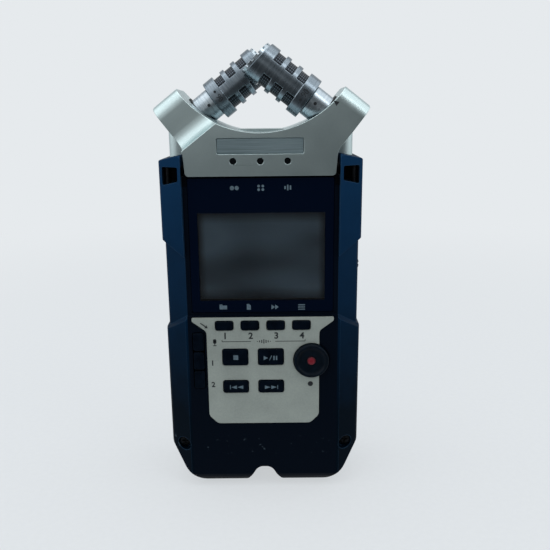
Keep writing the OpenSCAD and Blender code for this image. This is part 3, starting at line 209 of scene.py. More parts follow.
grain = add(tree, "TexNoise", {"Vector": place, "Scale": 1 / (0.5 * MM), "Detail": 2.0}).outputs["Fac"]
bumps = add(tree, "Bump", {"Height": grain, "Strength": 0.3, "Distance": 0.04 * MM,
                           "Normal": edge}).outputs["Normal"]
dull = add(tree, "MapRange", {"Value": mottle, "To Min": 0.42, "To Max": 0.56}).outputs["Result"]
shader = add(tree, "BsdfPrincipled", {"Base Color": skin, "Roughness": dull, "IOR": 1.5,
                                      "Specular IOR Level": 0.03, "Normal": bumps})
add(tree, "OutputMaterial", {"Surface": shader.outputs["BSDF"]})

refit("front_shell", rubber, "body", "shell")
refit("rear_shell", rubber, "body", "shell")

# Boards and switches
# Glass-fibre boards under green solder mask, with stamped tin switch cans soldered on. They sit
# behind the display and the keys and show only through gaps.

# Solder mask on glass fibre: a dark green gloss with paler tracks under it, 0.75 mm apart.
mask, tree, place = new_finish("solder_mask_on_glass_fibre")
tracks = add(tree, "TexBrick", {"Vector": place, "Scale": 1 / (3 * MM), "Color1": linear("#123a26"),
                                "Color2": linear("#164630"), "Mortar": linear("#2b6a49"),
                                "Mortar Size": 0.06}).outputs["Color"]
shader = add(tree, "BsdfPrincipled", {"Base Color": tracks, "Roughness": 0.35, "IOR": 1.5})
add(tree, "OutputMaterial", {"Surface": shader.outputs["BSDF"]})
dress(mask, "main_board", "input_board")

# Stamped tin plate: cool grey, with faint rolling streaks 0.8 mm wide.
tin, tree, place = new_finish("rolled_tin_plate")
stretch = add(tree, "Mapping", {"Vector": place,
                                "Scale": (1 / (8 * MM), 1 / (0.8 * MM), 1 / (0.8 * MM))}).outputs["Vector"]
streaks = add(tree, "TexNoise", {"Vector": stretch, "Scale": 1.0, "Detail": 3.0}).outputs["Fac"]
tone = add(tree, "ValToRGB", {"Fac": streaks}, ramp=[(0.3, "#8e9498"), (0.7, "#b4b9bc")]).outputs["Color"]
wear_and_painted_shade = add(tree, "MapRange", {"Value": streaks, "To Min": 0.24, "To Max": 0.42}).outputs["Result"]
shader = add(tree, "BsdfPrincipled", {"Base Color": tone, "Metallic": 1.0, "Roughness": wear_and_painted_shade})
add(tree, "OutputMaterial", {"Surface": shader.outputs["BSDF"]})
dress(tin, "key_switches", "battery_contacts", "sd_socket", "dial_carrier", "sd_cover_pin")

# Battery tray, cells and speaker
# A black ABS tray holds two AA cells in printed sleeves, and a small speaker with a coated paper
# cone is glued behind the slots in the back.

# Moulded black ABS: blue-black and dull. The mould's eroded grain is 0.05 mm and too fine to show,
# so it is drawn at 0.4 mm.
moulded, tree, place = new_finish("moulded_black_abs")
flow = add(tree, "TexNoise", {"Vector": place, "Scale": 1 / (4 * MM), "Detail": 3.0}).outputs["Fac"]
spark = add(tree, "TexNoise", {"Vector": place, "Scale": 1 / (0.4 * MM), "Detail": 1.0}).outputs["Fac"]
tone = add(tree, "ValToRGB", {"Fac": flow}, ramp=[(0.3, "#040a12"), (0.7, "#08111b")]).outputs["Color"]
dull = add(tree, "MapRange", {"Value": flow, "To Min": 0.34, "To Max": 0.48}).outputs["Result"]
bumps = add(tree, "Bump", {"Height": spark, "Strength": 0.25, "Distance": 0.03 * MM}).outputs["Normal"]
shader = add(tree, "BsdfPrincipled", {"Base Color": tone, "Roughness": dull, "IOR": 1.53,
                                      "Specular IOR Level": 0.15, "Normal": bumps})
add(tree, "OutputMaterial", {"Surface": shader.outputs["BSDF"]})
dress(moulded, "battery_tray")

# Shrunk printed sleeve: dark band with a copper-coloured collar, satin.
SLEEVE_FOOT, SLEEVE_TOP = 26, 78
sleeve, tree, place = new_finish("printed_shrink_sleeve")
rise = add(tree, "SeparateXYZ", {"Vector": place}).outputs["Z"]
along = add(tree, "MapRange", {"Value": rise, "From Min": SLEEVE_FOOT * MM,
                               "From Max": SLEEVE_TOP * MM}).outputs["Result"]
band = add(tree, "ValToRGB", {"Fac": along},
           ramp=[(0.0, "#2a2f34"), (0.68, "#2a2f34"), (0.7, "#a3673a"), (1.0, "#b57a4b")]).outputs["Color"]
shader = add(tree, "BsdfPrincipled", {"Base Color": band, "Metallic": 0.4, "Roughness": 0.35})
add(tree, "OutputMaterial", {"Surface": shader.outputs["BSDF"]})
dress(sleeve, "batteries")

# Coated paper cone: dull charcoal, flecked with fibres 0.7 mm long.
paper_cone, tree, place = new_finish("coated_paper_cone")
fibre = add(tree, "TexNoise", {"Vector": place, "Scale": 1 / (0.7 * MM), "Detail": 4.0}).outputs["Fac"]
tone = add(tree, "ValToRGB", {"Fac": fibre}, ramp=[(0.3, "#15171a"), (0.7, "#24272b")]).outputs["Color"]
shader = add(tree, "BsdfPrincipled", {"Base Color": tone, "Roughness": 0.8})
add(tree, "OutputMaterial", {"Surface": shader.outputs["BSDF"]})
dress(paper_cone, "speaker")

# Display
# A liquid crystal module clipped behind the front shell, under an acrylic window that is printed
# black from behind except for the view, and stuck into the well with tape.
PANEL_RIM = 2.6
panel_low, panel_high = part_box("lcd_panel")
view_half_w = (panel_high.x - panel_low.x) / 2 - PANEL_RIM * MM
view_half_h = (panel_high.z - panel_low.z) / 2 - PANEL_RIM * MM
view_z = (panel_low.z + panel_high.z) / 2


def off_view_middle(tree, place):
    """How far a point lies from the middle of the view, across and up."""
    axes = add(tree, "SeparateXYZ", {"Vector": place}).outputs
    rise = add(tree, "Math", {0: axes["Z"], 1: view_z}, operation="SUBTRACT").outputs["Value"]
    return [add(tree, "Math", {0: way}, operation="ABSOLUTE").outputs["Value"] for way in (axes["X"], rise)]


# Polarised display glass, switched off: slate blue with faint pixel rows, soft lighter bands from
# the backlight sheet, and a border painted darker, a painted shade where the panel lies back behind
# the window's printed edge. Rows of 0.3 mm are too fine to show, so they are drawn 0.9 mm apart. One
# wave of the texture is two pi over twenty times its scale.
display_glass, tree, place = new_finish("polarised_display_glass")
rows = add(tree, "TexWave", {"Vector": place, "Scale": 2 * math.pi / (0.9 * MM) / 20, "Distortion": 0.0},
           bands_direction="Z").outputs["Fac"]
wide = add(tree, "Mapping", {"Vector": place,
                             "Scale": (1 / (26 * MM), 1 / (9 * MM), 1 / (10 * MM))}).outputs["Vector"]
clouds = add(tree, "TexNoise", {"Vector": wide, "Scale": 1.0, "Detail": 0.0}).outputs["Fac"]
mixed = add(tree, "Math", {0: rows, 1: 0.02, 2: clouds}, operation="MULTIPLY_ADD").outputs["Value"]
tone = add(tree, "ValToRGB", {"Fac": mixed}, ramp=[(0.32, "#142029"), (0.72, "#606d77")]).outputs["Color"]
across, up = off_view_middle(tree, place)
# Painted shade: towards the edges of the view the panel's colour is darkened to the border colour.
from_side = add(tree, "MapRange", {"Value": across, "From Min": view_half_w + 0.6 * MM,
                                   "From Max": view_half_w - 2.4 * MM}).outputs["Result"]
from_end = add(tree, "MapRange", {"Value": up, "From Min": view_half_h + 1 * MM,
                                  "From Max": view_half_h - 4 * MM}).outputs["Result"]
clear_of_painted_shade = add(tree, "Math", {0: from_side, 1: from_end}, operation="MULTIPLY").outputs["Value"]
slate = add(tree, "Mix", {"Factor": clear_of_painted_shade, "A": linear("#050d15"), "B": tone}, data_type="RGBA").outputs[2]
shader = add(tree, "BsdfPrincipled", {"Base Color": slate, "Roughness": 0.4, "IOR": 1.5,
                                      "Specular IOR Level": 0.02})
add(tree, "OutputMaterial", {"Surface": shader.outputs["BSDF"]})
dress(display_glass, "lcd_panel")

# Acrylic, cast and back-printed: mirror-smooth, blue-black over the print and clear over the view,
# with finger smears 10 mm wide in the gloss over the print.
acrylic, tree, place = new_finish("back_printed_acrylic")
across, up = off_view_middle(tree, place)
in_width = add(tree, "Math", {0: across, 1: view_half_w}, operation="LESS_THAN").outputs["Value"]
in_height = add(tree, "Math", {0: up, 1: view_half_h}, operation="LESS_THAN").outputs["Value"]
clear = add(tree, "Math", {0: in_width, 1: in_height}, operation="MULTIPLY").outputs["Value"]
tint = add(tree, "ValToRGB", {"Fac": clear}, ramp=[(0.0, "#030a19"), (1.0, "#dfe6ea")]).outputs["Color"]
smear = add(tree, "TexNoise", {"Vector": place, "Scale": 1 / (10 * MM), "Detail": 5.0}).outputs["Fac"]
print_gloss = add(tree, "MapRange", {"Value": smear, "From Min": 0.45, "From Max": 0.75,
                                     "To Min": 0.03, "To Max": 0.14}).outputs["Result"]
gloss = add(tree, "MapRange", {"Value": clear, "To Min": print_gloss, "To Max": 0.02}).outputs["Result"]
shader = add(tree, "BsdfPrincipled", {"Base Color": tint, "Roughness": gloss, "IOR": 1.49,
                                      "Specular IOR Level": 0.03, "Transmission Weight": clear})
add(tree, "OutputMaterial", {"Surface": shader.outputs["BSDF"]})
refit("display_window", acrylic, "body", "window", 0.25, 3)

# Printing
# Signs are screen printed: a thin even film of ink on the window, the plate, the keys and the
# microphones. Only plain numbers and plain signs are used.


def face(node, side):
    """Middle of one face of the box round a CAD node, in millimetres."""
    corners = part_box(node)
    axis, end = {"left": (0, 0), "right": (0, 1), "front": (1, 0), "back": (1, 1)}[side]
    point = (corners[0] + corners[1]) / 2
    point[axis] = corners[end][axis]
    return point / MM


def printed(name, spot, turn, finish, body, slot, outlines=(), dots=(), numbers=()):
    """Ink signs in one plane: outlines and dots in millimetres from the spot, and numbers as text."""
    film = 0.02 * MM
    ink = bmesh.new()
    for outline in outlines:
        ink.faces.new([ink.verts.new((u * MM, v * MM, 0)) for u, v in outline])
    for u, v, r in dots:
        bmesh.ops.create_circle(ink, cap_ends=True, segments=24, radius=r * MM,
                                matrix=Matrix.Translation((u * MM, v * MM, 0)))
    raised = bmesh.ops.extrude_face_region(ink, geom=ink.faces[:], use_keep_orig=True)["geom"]
    top = [part for part in raised if isinstance(part, bmesh.types.BMVert)]
    bmesh.ops.translate(ink, vec=(0, 0, film), verts=top)
    for text, size, u, v, weight in numbers:
        letter = bpy.data.curves.new("number", "FONT")
        letter.body = text
        letter.size = size * MM
        letter.offset = size * weight * MM
        letter.align_x = "CENTER"
        letter.align_y = "CENTER"
        letter.extrude = film / 2
        holder = bpy.data.objects.new("number", letter)
        bpy.context.scene.collection.objects.link(holder)
        bpy.context.view_layer.update()
        number = bpy.data.meshes.new_from_object(holder)
        number.transform(Matrix.Translation((u * MM, v * MM, film / 2)))
        ink.from_mesh(number)
        bpy.data.objects.remove(holder)
        bpy.data.curves.remove(letter)
        bpy.data.meshes.remove(number)
    bmesh.ops.remove_doubles(ink, verts=ink.verts, dist=0.001 * MM)
    bmesh.ops.recalc_face_normals(ink, faces=ink.faces)
    bmesh.ops.transform(ink, matrix=Matrix.Translation(Vector(spot) * MM) @ turn, verts=ink.verts)
    fit(placed(name, ink), finish, body, slot)


TO_FRONT = Matrix.Rotation(math.radians(90), 4, "X")
TO_RIGHT = Matrix.Rotation(math.radians(90), 4, "Z") @ TO_FRONT
TO_BACK = Matrix.Rotation(math.radians(180), 4, "Z") @ TO_FRONT
TO_LEFT = Matrix.Rotation(math.radians(-90), 4, "Z") @ TO_FRONT

# Pale ink: blue-grey, a little thin in places, matt.
pale_ink, tree, place = new_finish("pale_screen_ink")
thin = add(tree, "TexNoise", {"Vector": place, "Scale": 1 / (0.8 * MM), "Detail": 2.0}).outputs["Fac"]
tone = add(tree, "ValToRGB", {"Fac": thin}, ramp=[(0.3, "#43545f"), (0.6, "#526672")]).outputs["Color"]
shader = add(tree, "BsdfPrincipled", {"Base Color": tone, "Roughness": 0.6})
add(tree, "OutputMaterial", {"Surface": shader.outputs["BSDF"]})

# Dark ink: blue-black, matt.
dark_ink, tree, place = new_finish("dark_screen_ink")
thin = add(tree, "TexNoise", {"Vector": place, "Scale": 1 / (0.8 * MM), "Detail": 2.0}).outputs["Fac"]
tone = add(tree, "ValToRGB", {"Fac": thin}, ramp=[(0.3, "#0c1218"), (0.7, "#161d24")]).outputs["Color"]
shader = add(tree, "BsdfPrincipled", {"Base Color": tone, "Roughness": 0.55})
add(tree, "OutputMaterial", {"Surface": shader.outputs["BSDF"]})


def bar(u, v, w, h):
    """Outline of an upright bar round the point u, v."""
    return [(u - w / 2, v - h / 2), (u + w / 2, v - h / 2), (u + w / 2, v + h / 2), (u - w / 2, v + h / 2)]


# Two dots, four dots and a wave over the display. A folder, a sheet, arrows and a list under it.
WAVE = [bar(8.1, 110.9, 0.5, 1.0), bar(9, 110.9, 0.5, 1.9), bar(9.9, 110.9, 0.5, 1.4)]
FOLDER = [(-15, 68.7), (-12.4, 68.7), (-12.4, 70.1), (-13.8, 70.1), (-14.1, 70.5), (-15, 70.5)]
SHEET = [(-5.5, 68.5), (-4.1, 68.5), (-4.1, 70), (-4.7, 70.6), (-5.5, 70.6)]
ARROWS = [[(u, 68.5), (u + 1.2, 69.4), (u, 70.3)] for u in (3.1, 4.4)]
LIST = [bar(13.6, v, 2.4, 0.4) for v in (68.5, 69.3, 70.1)]
printed("window_signs", (0, face("display_window", "front").y, 0), TO_FRONT, pale_ink, "body", "window",
        outlines=WAVE + [FOLDER, SHEET] + ARROWS + LIST,
        dots=[(-9.6, 110.9, 0.7), (-8.0, 110.9, 0.7), (-0.7, 111.5, 0.45), (0.7, 111.5, 0.45),
              (-0.7, 110.3, 0.45), (0.7, 110.3, 0.45)])

# Control plate
# A thin moulded plate, sprayed silver and pressed into the lower panel, with holes for the keys.
# Its signs are printed on in dark ink.

# Silver spray on ABS: a soft grey with a satin sheen, a little cloudy. Its flakes are 0.05 mm and
# too fine to show, so they are drawn at 0.5 mm.
sprayed, tree, place = new_finish("silver_sprayed_abs_plate")
flake = add(tree, "TexNoise", {"Vector": place, "Scale": 1 / (0.5 * MM), "Detail": 2.0}).outputs["Fac"]
patch = add(tree, "TexNoise", {"Vector": place, "Scale": 1 / (12 * MM), "Detail": 3.0}).outputs["Fac"]
blend = add(tree, "Math", {0: flake, 1: 0.5, 2: patch}, operation="MULTIPLY_ADD").outputs["Value"]
tone = add(tree, "ValToRGB", {"Fac": blend}, ramp=[(0.45, "#8a928d"), (1.0, "#9ca49e")]).outputs["Color"]
satin = add(tree, "MapRange", {"Value": patch, "To Min": 0.38, "To Max": 0.5}).outputs["Result"]
edge = add(tree, "Bevel", {"Radius": 0.2 * MM}, samples=6).outputs["Normal"]
bumps = add(tree, "Bump", {"Height": flake, "Strength": 0.15, "Distance": 0.02 * MM,
                           "Normal": edge}).outputs["Normal"]
shader = add(tree, "BsdfPrincipled", {"Base Color": tone, "Metallic": 0.25, "Roughness": satin,
                                      "Normal": bumps})
add(tree, "OutputMaterial", {"Surface": shader.outputs["BSDF"]})
refit("control_plate", sprayed, "body", "plate")

# Brackets and a wave between them, a microphone, an arrow and a dot, and the keys' numbers.
BRACKETS = [bar(-9.35, 57.2, 10.1, 0.22), bar(9.55, 57.2, 10.5, 0.22), bar(-14.4, 57.55, 0.22, 0.7),
            bar(14.8, 57.55, 0.22, 0.7)]
WAVE = [bar(0.3 + 0.75 * i, 57.2, 0.36, 1.6 - 0.45 * abs(i)) for i in range(-3, 4)]
MICROPHONE_FOOT = [bar(-17, 56.15, 0.25, 0.7), bar(-17, 55.75, 1.3, 0.28)]
MICROPHONE_HEAD = [(-17, 57.6, 0.6), (-17, 57.05, 0.6)]
ARROW = [(-21.71, 64.3), (-21.95, 63.98), (-20.19, 62.66), (-20.49, 62.26), (-19.27, 62.22),
         (-19.65, 63.38), (-19.95, 62.98)]
INK_WEIGHT = 0.03
printed("plate_signs", (0, face("control_plate", "front").y, 0), TO_FRONT, dark_ink, "body", "plate",
        outlines=BRACKETS + MICROPHONE_FOOT + [ARROW] + WAVE,
        dots=MICROPHONE_HEAD + [(16.7, 41, 0.95)],
        numbers=[(str(i + 1), 3.2, -13.3 + 9 * i, 59.2, INK_WEIGHT) for i in range(4)]
        + [("1", 2.7, -18, 49.1, INK_WEIGHT), ("2", 2.7, -18, 40.9, INK_WEIGHT)])

# Front keys
# Keys moulded in black ABS, polished on top, each on a post over its switch. The transport keys
# carry the usual signs for stop, play and pause, and winding.

# Polished black ABS: deep blue-black, its gloss dulled in patches of 3 mm by fingers.
key_gloss, tree, place = new_finish("polished_black_abs_key")
wear = add(tree, "TexNoise", {"Vector": place, "Scale": 1 / (3 * MM), "Detail": 4.0}).outputs["Fac"]
tone = add(tree, "ValToRGB", {"Fac": wear}, ramp=[(0.3, "#02070f"), (0.7, "#050d18")]).outputs["Color"]
gloss = add(tree, "MapRange", {"Value": wear, "To Min": 0.2, "To Max": 0.36}).outputs["Result"]
shader = add(tree, "BsdfPrincipled", {"Base Color": tone, "Roughness": gloss,
                                      "IOR": 1.53, "Specular IOR Level": 0.03})
add(tree, "OutputMaterial", {"Surface": shader.outputs["BSDF"]})
for key in ("track_key_1", "track_key_2", "track_key_3", "track_key_4", "stop_key", "play_key",
            "rewind_key", "forward_key", "mic_input_key", "input_1_key", "input_2_key"):
    refit(key, key_gloss, key, "keys", 0.25, 3)

# Each sign is set a little off the middle of its key, across and up.
STOP = [bar(0, 0, 1.7, 1.7)]
PLAY_PAUSE = [[(-2.5, -0.8), (-1.0, 0), (-2.5, 0.8)],
              [(-0.6, -0.9), (-0.35, -0.9), (0.45, 0.9), (0.2, 0.9)],
              bar(1.15, 0, 0.5, 1.6), bar(2.05, 0, 0.5, 1.6)]
REWIND = [bar(-2.4, 0, 0.25, 1.5), [(-2.1, 0), (-0.1, -0.7), (-0.1, 0.7)],
          [(0.1, 0), (2.2, -0.7), (2.2, 0.7)]]
FORWARD = [bar(2.4, 0, 0.25, 1.5), [(2.1, 0), (0.1, 0.7), (0.1, -0.7)],
           [(-0.1, 0), (-2.2, 0.7), (-2.2, -0.7)]]
for key, across, up, sign in (("stop", 0.2, 0, STOP), ("play", -0.05, -0.25, PLAY_PAUSE),
                              ("rewind", 0.4, -0.1, REWIND), ("forward", -0.1, -0.2, FORWARD)):
    printed(f"{key}_sign", face(f"{key}_key", "front") + Vector((across, 0, up)), TO_FRONT, pale_ink,
            f"{key}_key", "keys", outlines=sign)

# Record key
# A round dished key with a rolled rim, turned in the mould, and a clear red lens snapped into it
# over a lamp.
LEFT, RIGHT, FRONT, BACK, UP = (-1, 0, 0), (1, 0, 0), (0, -1, 0), (0, 1, 0), (0, 0, 1)


def spun(name, profile, middle, axis, across, steps):
    """A turned piece: the profile gives radius and distance along the axis, in millimetres."""
    middle, axis, across = Vector(middle), Vector(axis), Vector(across)
    turned = bmesh.new()
    points = [turned.verts.new((middle + across * r + axis * d) * MM) for r, d in profile]
    edges = [turned.edges.new(pair) for pair in zip(points, points[1:])]
    bmesh.ops.spin(turned, geom=points + edges, cent=middle * MM, axis=axis, angle=2 * math.pi,
                   steps=steps, use_merge=True)
    bmesh.ops.remove_doubles(turned, verts=turned.verts, dist=0.002 * MM)
    bmesh.ops.recalc_face_normals(turned, faces=turned.faces)
    piece = placed(name, turned)
    piece.data.shade_smooth()
    piece.data.set_sharp_from_angle(angle=math.radians(40))
    return piece


# Satin black ABS: the mould is lightly eroded, so the dish shows a soft grey sheen.
satin_key, tree, place = new_finish("satin_black_abs_key")
wear = add(tree, "TexNoise", {"Vector": place, "Scale": 1 / (2 * MM), "Detail": 4.0}).outputs["Fac"]
tone = add(tree, "ValToRGB", {"Fac": wear}, ramp=[(0.3, "#030a12"), (0.7, "#06111c")]).outputs["Color"]
sheen = add(tree, "MapRange", {"Value": wear, "To Min": 0.3, "To Max": 0.42}).outputs["Result"]
shader = add(tree, "BsdfPrincipled", {"Base Color": tone, "Roughness": sheen,
                                      "IOR": 1.53, "Specular IOR Level": 0.07})
add(tree, "OutputMaterial", {"Surface": shader.outputs["BSDF"]})

# The profiles run from the parting plane of the body, which holds the origin, to the front.
record_middle = face("record_key", "front")
record_middle.y = 0
POST = [(0, 12.9), (1.2, 12.9), (1.2, 13.5), (6.65, 13.5), (6.65, 14.3), (6.2, 14.3)]
RIM = [(6.2, 17.75), (6.14, 18.05), (6.0, 18.27), (5.8, 18.42), (5.55, 18.5), (5.3, 18.48), (5.12, 18.4)]
DISH = [(4.95, 18.22), (4.6, 17.95), (4.35, 17.82), (3.9, 17.76), (2.2, 17.7), (1.65, 17.66)]
LENS_SEAT = [(1.6, 17.55), (1.6, 15.7), (0, 15.7)]
fit(spun("record_key_dished", POST + RIM + DISH + LENS_SEAT, record_middle, FRONT, RIGHT, 96),
    satin_key, "record_button", "keys", "record_key")

# Red-tinted polycarbonate: a deep red middle, a paler ring and a dark rim, glossy.
LENS_R, LENS_FACE = 1.6, 17.7
red, tree, place = new_finish("red_tinted_polycarbonate")
to_middle = Vector((-record_middle.x, LENS_FACE, -record_middle.z)) * MM
centred = add(tree, "Mapping", {"Vector": place, "Location": to_middle}).outputs["Vector"]
reach = add(tree, "VectorMath", {0: centred}, operation="LENGTH").outputs["Value"]
ring = add(tree, "MapRange", {"Value": reach, "From Max": LENS_R * MM}).outputs["Result"]
tone = add(tree, "ValToRGB", {"Fac": ring},
           ramp=[(0.0, "#640713"), (0.55, "#74202c"), (1.0, "#2a0810")]).outputs["Color"]
shader = add(tree, "BsdfPrincipled", {"Base Color": tone, "Roughness": 0.15, "IOR": 1.58,
                                      "Specular IOR Level": 0.25})
add(tree, "OutputMaterial", {"Surface": shader.outputs["BSDF"]})
DOME = [(0, 15.72), (1.5, 15.72), (1.52, 17.7), (1.45, 17.84), (1.28, 17.94), (0.95, 18.0), (0.5, 18.03),
        (0, 18.04)]
fit(spun("record_lens_domed", DOME, record_middle, FRONT, RIGHT, 48),
    red, "record_button", "red_lens", "record_lens")

# Side controls
# A ribbed slide switch and a rocker on the left, a rocker, a notched thumb wheel and a round key
# on the right, all moulded in black ABS. Rockers carry plus and minus signs.
for node, width in (("volume_key", 0.3), ("level_key", 0.3), ("menu_key", 0.3), ("dial", 0.12),
                    ("power_switch", 0.25)):
    refit(node, moulded, node, "keys", width, 3)


def rounded_blocks(name, blocks, segments):
    """Small boxes with rounded edges in one piece, each given by its size and middle in millimetres."""
    shape = bmesh.new()
    for size, middle in blocks:
        corners = bmesh.ops.create_cube(shape, size=1)["verts"]
        bmesh.ops.scale(shape, vec=Vector(size) * MM, verts=corners)
        bmesh.ops.translate(shape, vec=Vector(middle) * MM, verts=corners)
    bmesh.ops.bevel(shape, geom=shape.edges[:], offset=0.15 * MM, affect="EDGES", segments=segments,
                    profile=0.5, material=-1)
    return placed(name, shape)


RIB_SIZE, RIB_STEP = (0.5, 3.6, 0.55), 1.3
thumb_face = face("power_switch", "left")
RIBS = [(RIB_SIZE, thumb_face + Vector((0, 0, step * RIB_STEP))) for step in range(-2, 3)]
fit(rounded_blocks("switch_ribs", RIBS, 3), moulded, "power_switch", "keys")

PLUS = [bar(0, 4.6, 1.7, 0.4), bar(0, 5.075, 0.4, 0.55), bar(0, 4.125, 0.4, 0.55)]
MINUS = [bar(0, -4.6, 1.7, 0.4)]
for key, side, turn in (("volume", "left", TO_LEFT), ("level", "right", TO_RIGHT)):
    printed(f"{key}_signs", face(f"{key}_key", side), turn, pale_ink, f"{key}_key", "keys",
            outlines=PLUS + MINUS)

# Sockets
# Two combined cable sockets in the bottom end, small round sockets for plugs on the left and the
# back, a data socket and a power socket, and a brass thread for a tripod.
dress(moulded, "ext_mic_jack", "phone_jack", "dc_jack")
for node in ("input_jack_1", "input_jack_2"):
    refit(node, moulded, "body", "socket", 0.2, 2)

# Turned brass: warm grey-gold and bright. Lathe marks of 0.1 mm are too fine to show, so they are
# drawn as flecks of 0.6 mm.
brass, tree, place = new_finish("turned_brass")
lathe = add(tree, "TexNoise", {"Vector": place, "Scale": 1 / (0.6 * MM), "Detail": 2.0}).outputs["Fac"]
tone = add(tree, "ValToRGB", {"Fac": lathe}, ramp=[(0.3, "#8d8160"), (0.7, "#a89a74")]).outputs["Color"]
bright = add(tree, "MapRange", {"Value": lathe, "To Min": 0.2, "To Max": 0.34}).outputs["Result"]
shader = add(tree, "BsdfPrincipled", {"Base Color": tone, "Metallic": 1.0, "Roughness": bright})
add(tree, "OutputMaterial", {"Surface": shader.outputs["BSDF"]})
dress(brass, "tripod_insert")

# Nickel plate on steel: cool and bright, lightly scuffed at 1.5 mm.
nickel, tree, place = new_finish("nickel_plated_steel")
scuff = add(tree, "TexNoise", {"Vector": place, "Scale": 1 / (1.5 * MM), "Detail": 5.0}).outputs["Fac"]
tone = add(tree, "ValToRGB", {"Fac": scuff}, ramp=[(0.3, "#8b9092"), (0.7, "#a5aaab")]).outputs["Color"]
bright = add(tree, "MapRange", {"Value": scuff, "To Min": 0.14, "To Max": 0.3}).outputs["Result"]
shader = add(tree, "BsdfPrincipled", {"Base Color": tone, "Metallic": 1.0, "Roughness": bright})
add(tree, "OutputMaterial", {"Surface": shader.outputs["BSDF"]})
dress(nickel, "usb_port")

# Three contact sleeves on a circle and a bush round the middle in each cable socket.
SOCKET_X, CONTACT_CIRCLE = 14, 5.4
CONTACT_SLEEVE = [(0.95, 3.2), (1.2, 3.2), (1.2, 12), (0.95, 12), (0.95, 3.2)]
SOCKET_BUSH = [(3.3, 2.5), (3.75, 2.25), (3.9, 2.36), (3.9, 2.6), (3.3, 2.6), (3.3, 2.5)]
for side, x in (("1", -SOCKET_X), ("2", SOCKET_X)):
    for pin, turn in enumerate((30, 150, 270)):
        out = Vector((math.cos(math.radians(turn)), math.sin(math.radians(turn)), 0)) * CONTACT_CIRCLE
        fit(spun(f"socket_{side}_sleeve_{pin + 1}", CONTACT_SLEEVE, (x + out.x, out.y, 0), UP, RIGHT, 24),
            brass, "body", "insert")
    fit(spun(f"socket_{side}_bush", SOCKET_BUSH, (x, 0, 0), UP, RIGHT, 48), nickel, "body", "steel")

PLUG_BUSH = [(1.82, -1.5), (1.82, 0.1), (1.95, 0.24), (2.5, 0.24), (2.65, 0.1), (2.65, -0.02), (2.2, -0.02),
             (2.2, -1.5), (1.82, -1.5)]
fit(spun("phone_bush", PLUG_BUSH, face("phone_jack", "left"), LEFT, UP, 40), nickel, "body", "steel")
fit(spun("ext_mic_bush", PLUG_BUSH, face("ext_mic_jack", "back"), BACK, UP, 40), nickel, "body", "steel")

# The thread is drawn as rings, half a pitch from crest to root.
THREAD_R, THREAD_DEPTH, HALF_PITCH = 3.17, 0.22, 0.55
INSERT_R, THREAD_TOP, THREAD_END = 3.3, -0.3, -6.4
THREAD = [(THREAD_R - THREAD_DEPTH * (i % 2), THREAD_TOP - i * HALF_PITCH) for i in range(12)]
THREAD_RING = [(INSERT_R, THREAD_TOP)] + THREAD + [(INSERT_R, THREAD_END), (INSERT_R, THREAD_TOP)]
fit(spun("tripod_thread", THREAD_RING, face("tripod_insert", "back"), BACK, UP, 48),
    brass, "body", "insert")

TONGUE_SIZE, TONGUE_IN = (6, 0.9, 4.6), (4.4, 0.2, 0)
TONGUE = [(TONGUE_SIZE, face("usb_port", "left") + Vector(TONGUE_IN))]
fit(rounded_blocks("data_tongue", TONGUE, 2), moulded, "body", "socket")

# Memory card and its cover, battery cover
# The card sits behind a hinged rubber-coated flap on the right. The battery cover slides down the
# back on two tongues, with five ribs for the thumb and an arrow for the way it opens.
ARROW_Z = 62
dress(moulded, "sd_card")
refit("sd_cover", rubber, "sd_cover", "shell", 0.2, 2)
refit("battery_cover", rubber, "battery_cover", "shell", 0.25, 2)
printed("cover_arrow", (0, face("rear_shell", "back").y, ARROW_Z), TO_BACK, pale_ink,
        "battery_cover", "shell", outlines=[[(-1.6, 0.8), (0, -1.2), (1.6, 0.8)]])

# Screws
# Cross-recess screws in blackened steel hold the two halves of the body. The pins in the strap
# pockets are of the same steel.

# Blackened steel: near black, rubbed to dark grey in spots of 0.9 mm.
blackened, tree, place = new_finish("blackened_steel")
rub = add(tree, "TexNoise", {"Vector": place, "Scale": 1 / (0.9 * MM), "Detail": 3.0}).outputs["Fac"]
tone = add(tree, "ValToRGB", {"Fac": rub}, ramp=[(0.35, "#08090c"), (0.75, "#22262a")]).outputs["Color"]
shader = add(tree, "BsdfPrincipled", {"Base Color": tone, "Metallic": 0.9, "Roughness": 0.38})
add(tree, "OutputMaterial", {"Surface": shader.outputs["BSDF"]})
refit("case_screws", blackened, "body", "steel", 0.1, 2)
dress(blackened, "strap_pins")

# Microphone frame
# Two cast halves, bead blasted and sprayed with a fine silver lacquer, that clamp the stems in
# their horns. A faint seam runs round the middle.

# Silver lacquer on a casting: pale, cool and satin, a little cloudy. Its flakes are 0.05 mm and too
# fine to show, so they are drawn at 0.5 mm.
lacquer, tree, place = new_finish("silver_lacquer_on_casting")
flake = add(tree, "TexNoise", {"Vector": place, "Scale": 1 / (0.5 * MM), "Detail": 2.0}).outputs["Fac"]
patch = add(tree, "TexNoise", {"Vector": place, "Scale": 1 / (14 * MM), "Detail": 3.0}).outputs["Fac"]
blend = add(tree, "Math", {0: flake, 1: 0.4, 2: patch}, operation="MULTIPLY_ADD").outputs["Value"]
tone = add(tree, "ValToRGB", {"Fac": blend}, ramp=[(0.4, "#aebfc1"), (1.0, "#bccdce")]).outputs["Color"]
satin = add(tree, "MapRange", {"Value": patch, "To Min": 0.3, "To Max": 0.42}).outputs["Result"]
bumps = add(tree, "Bump", {"Height": flake, "Strength": 0.1, "Distance": 0.02 * MM}).outputs["Normal"]
shader = add(tree, "BsdfPrincipled", {"Base Color": tone, "Metallic": 1.0, "Roughness": satin,
                                      "Normal": bumps})
add(tree, "OutputMaterial", {"Surface": shader.outputs["BSDF"]})
refit("mic_frame_front", lacquer, "body", "frame", 0.18, 3)
refit("mic_frame_rear", lacquer, "body", "frame", 0.18, 3)
printed("horn_sign", (0, face("mic_frame_front", "front").y, 0), TO_FRONT, dark_ink, "body", "frame",
        outlines=[[(23.83, 138.67), (24.77, 136.94), (25.74, 138.21)]])

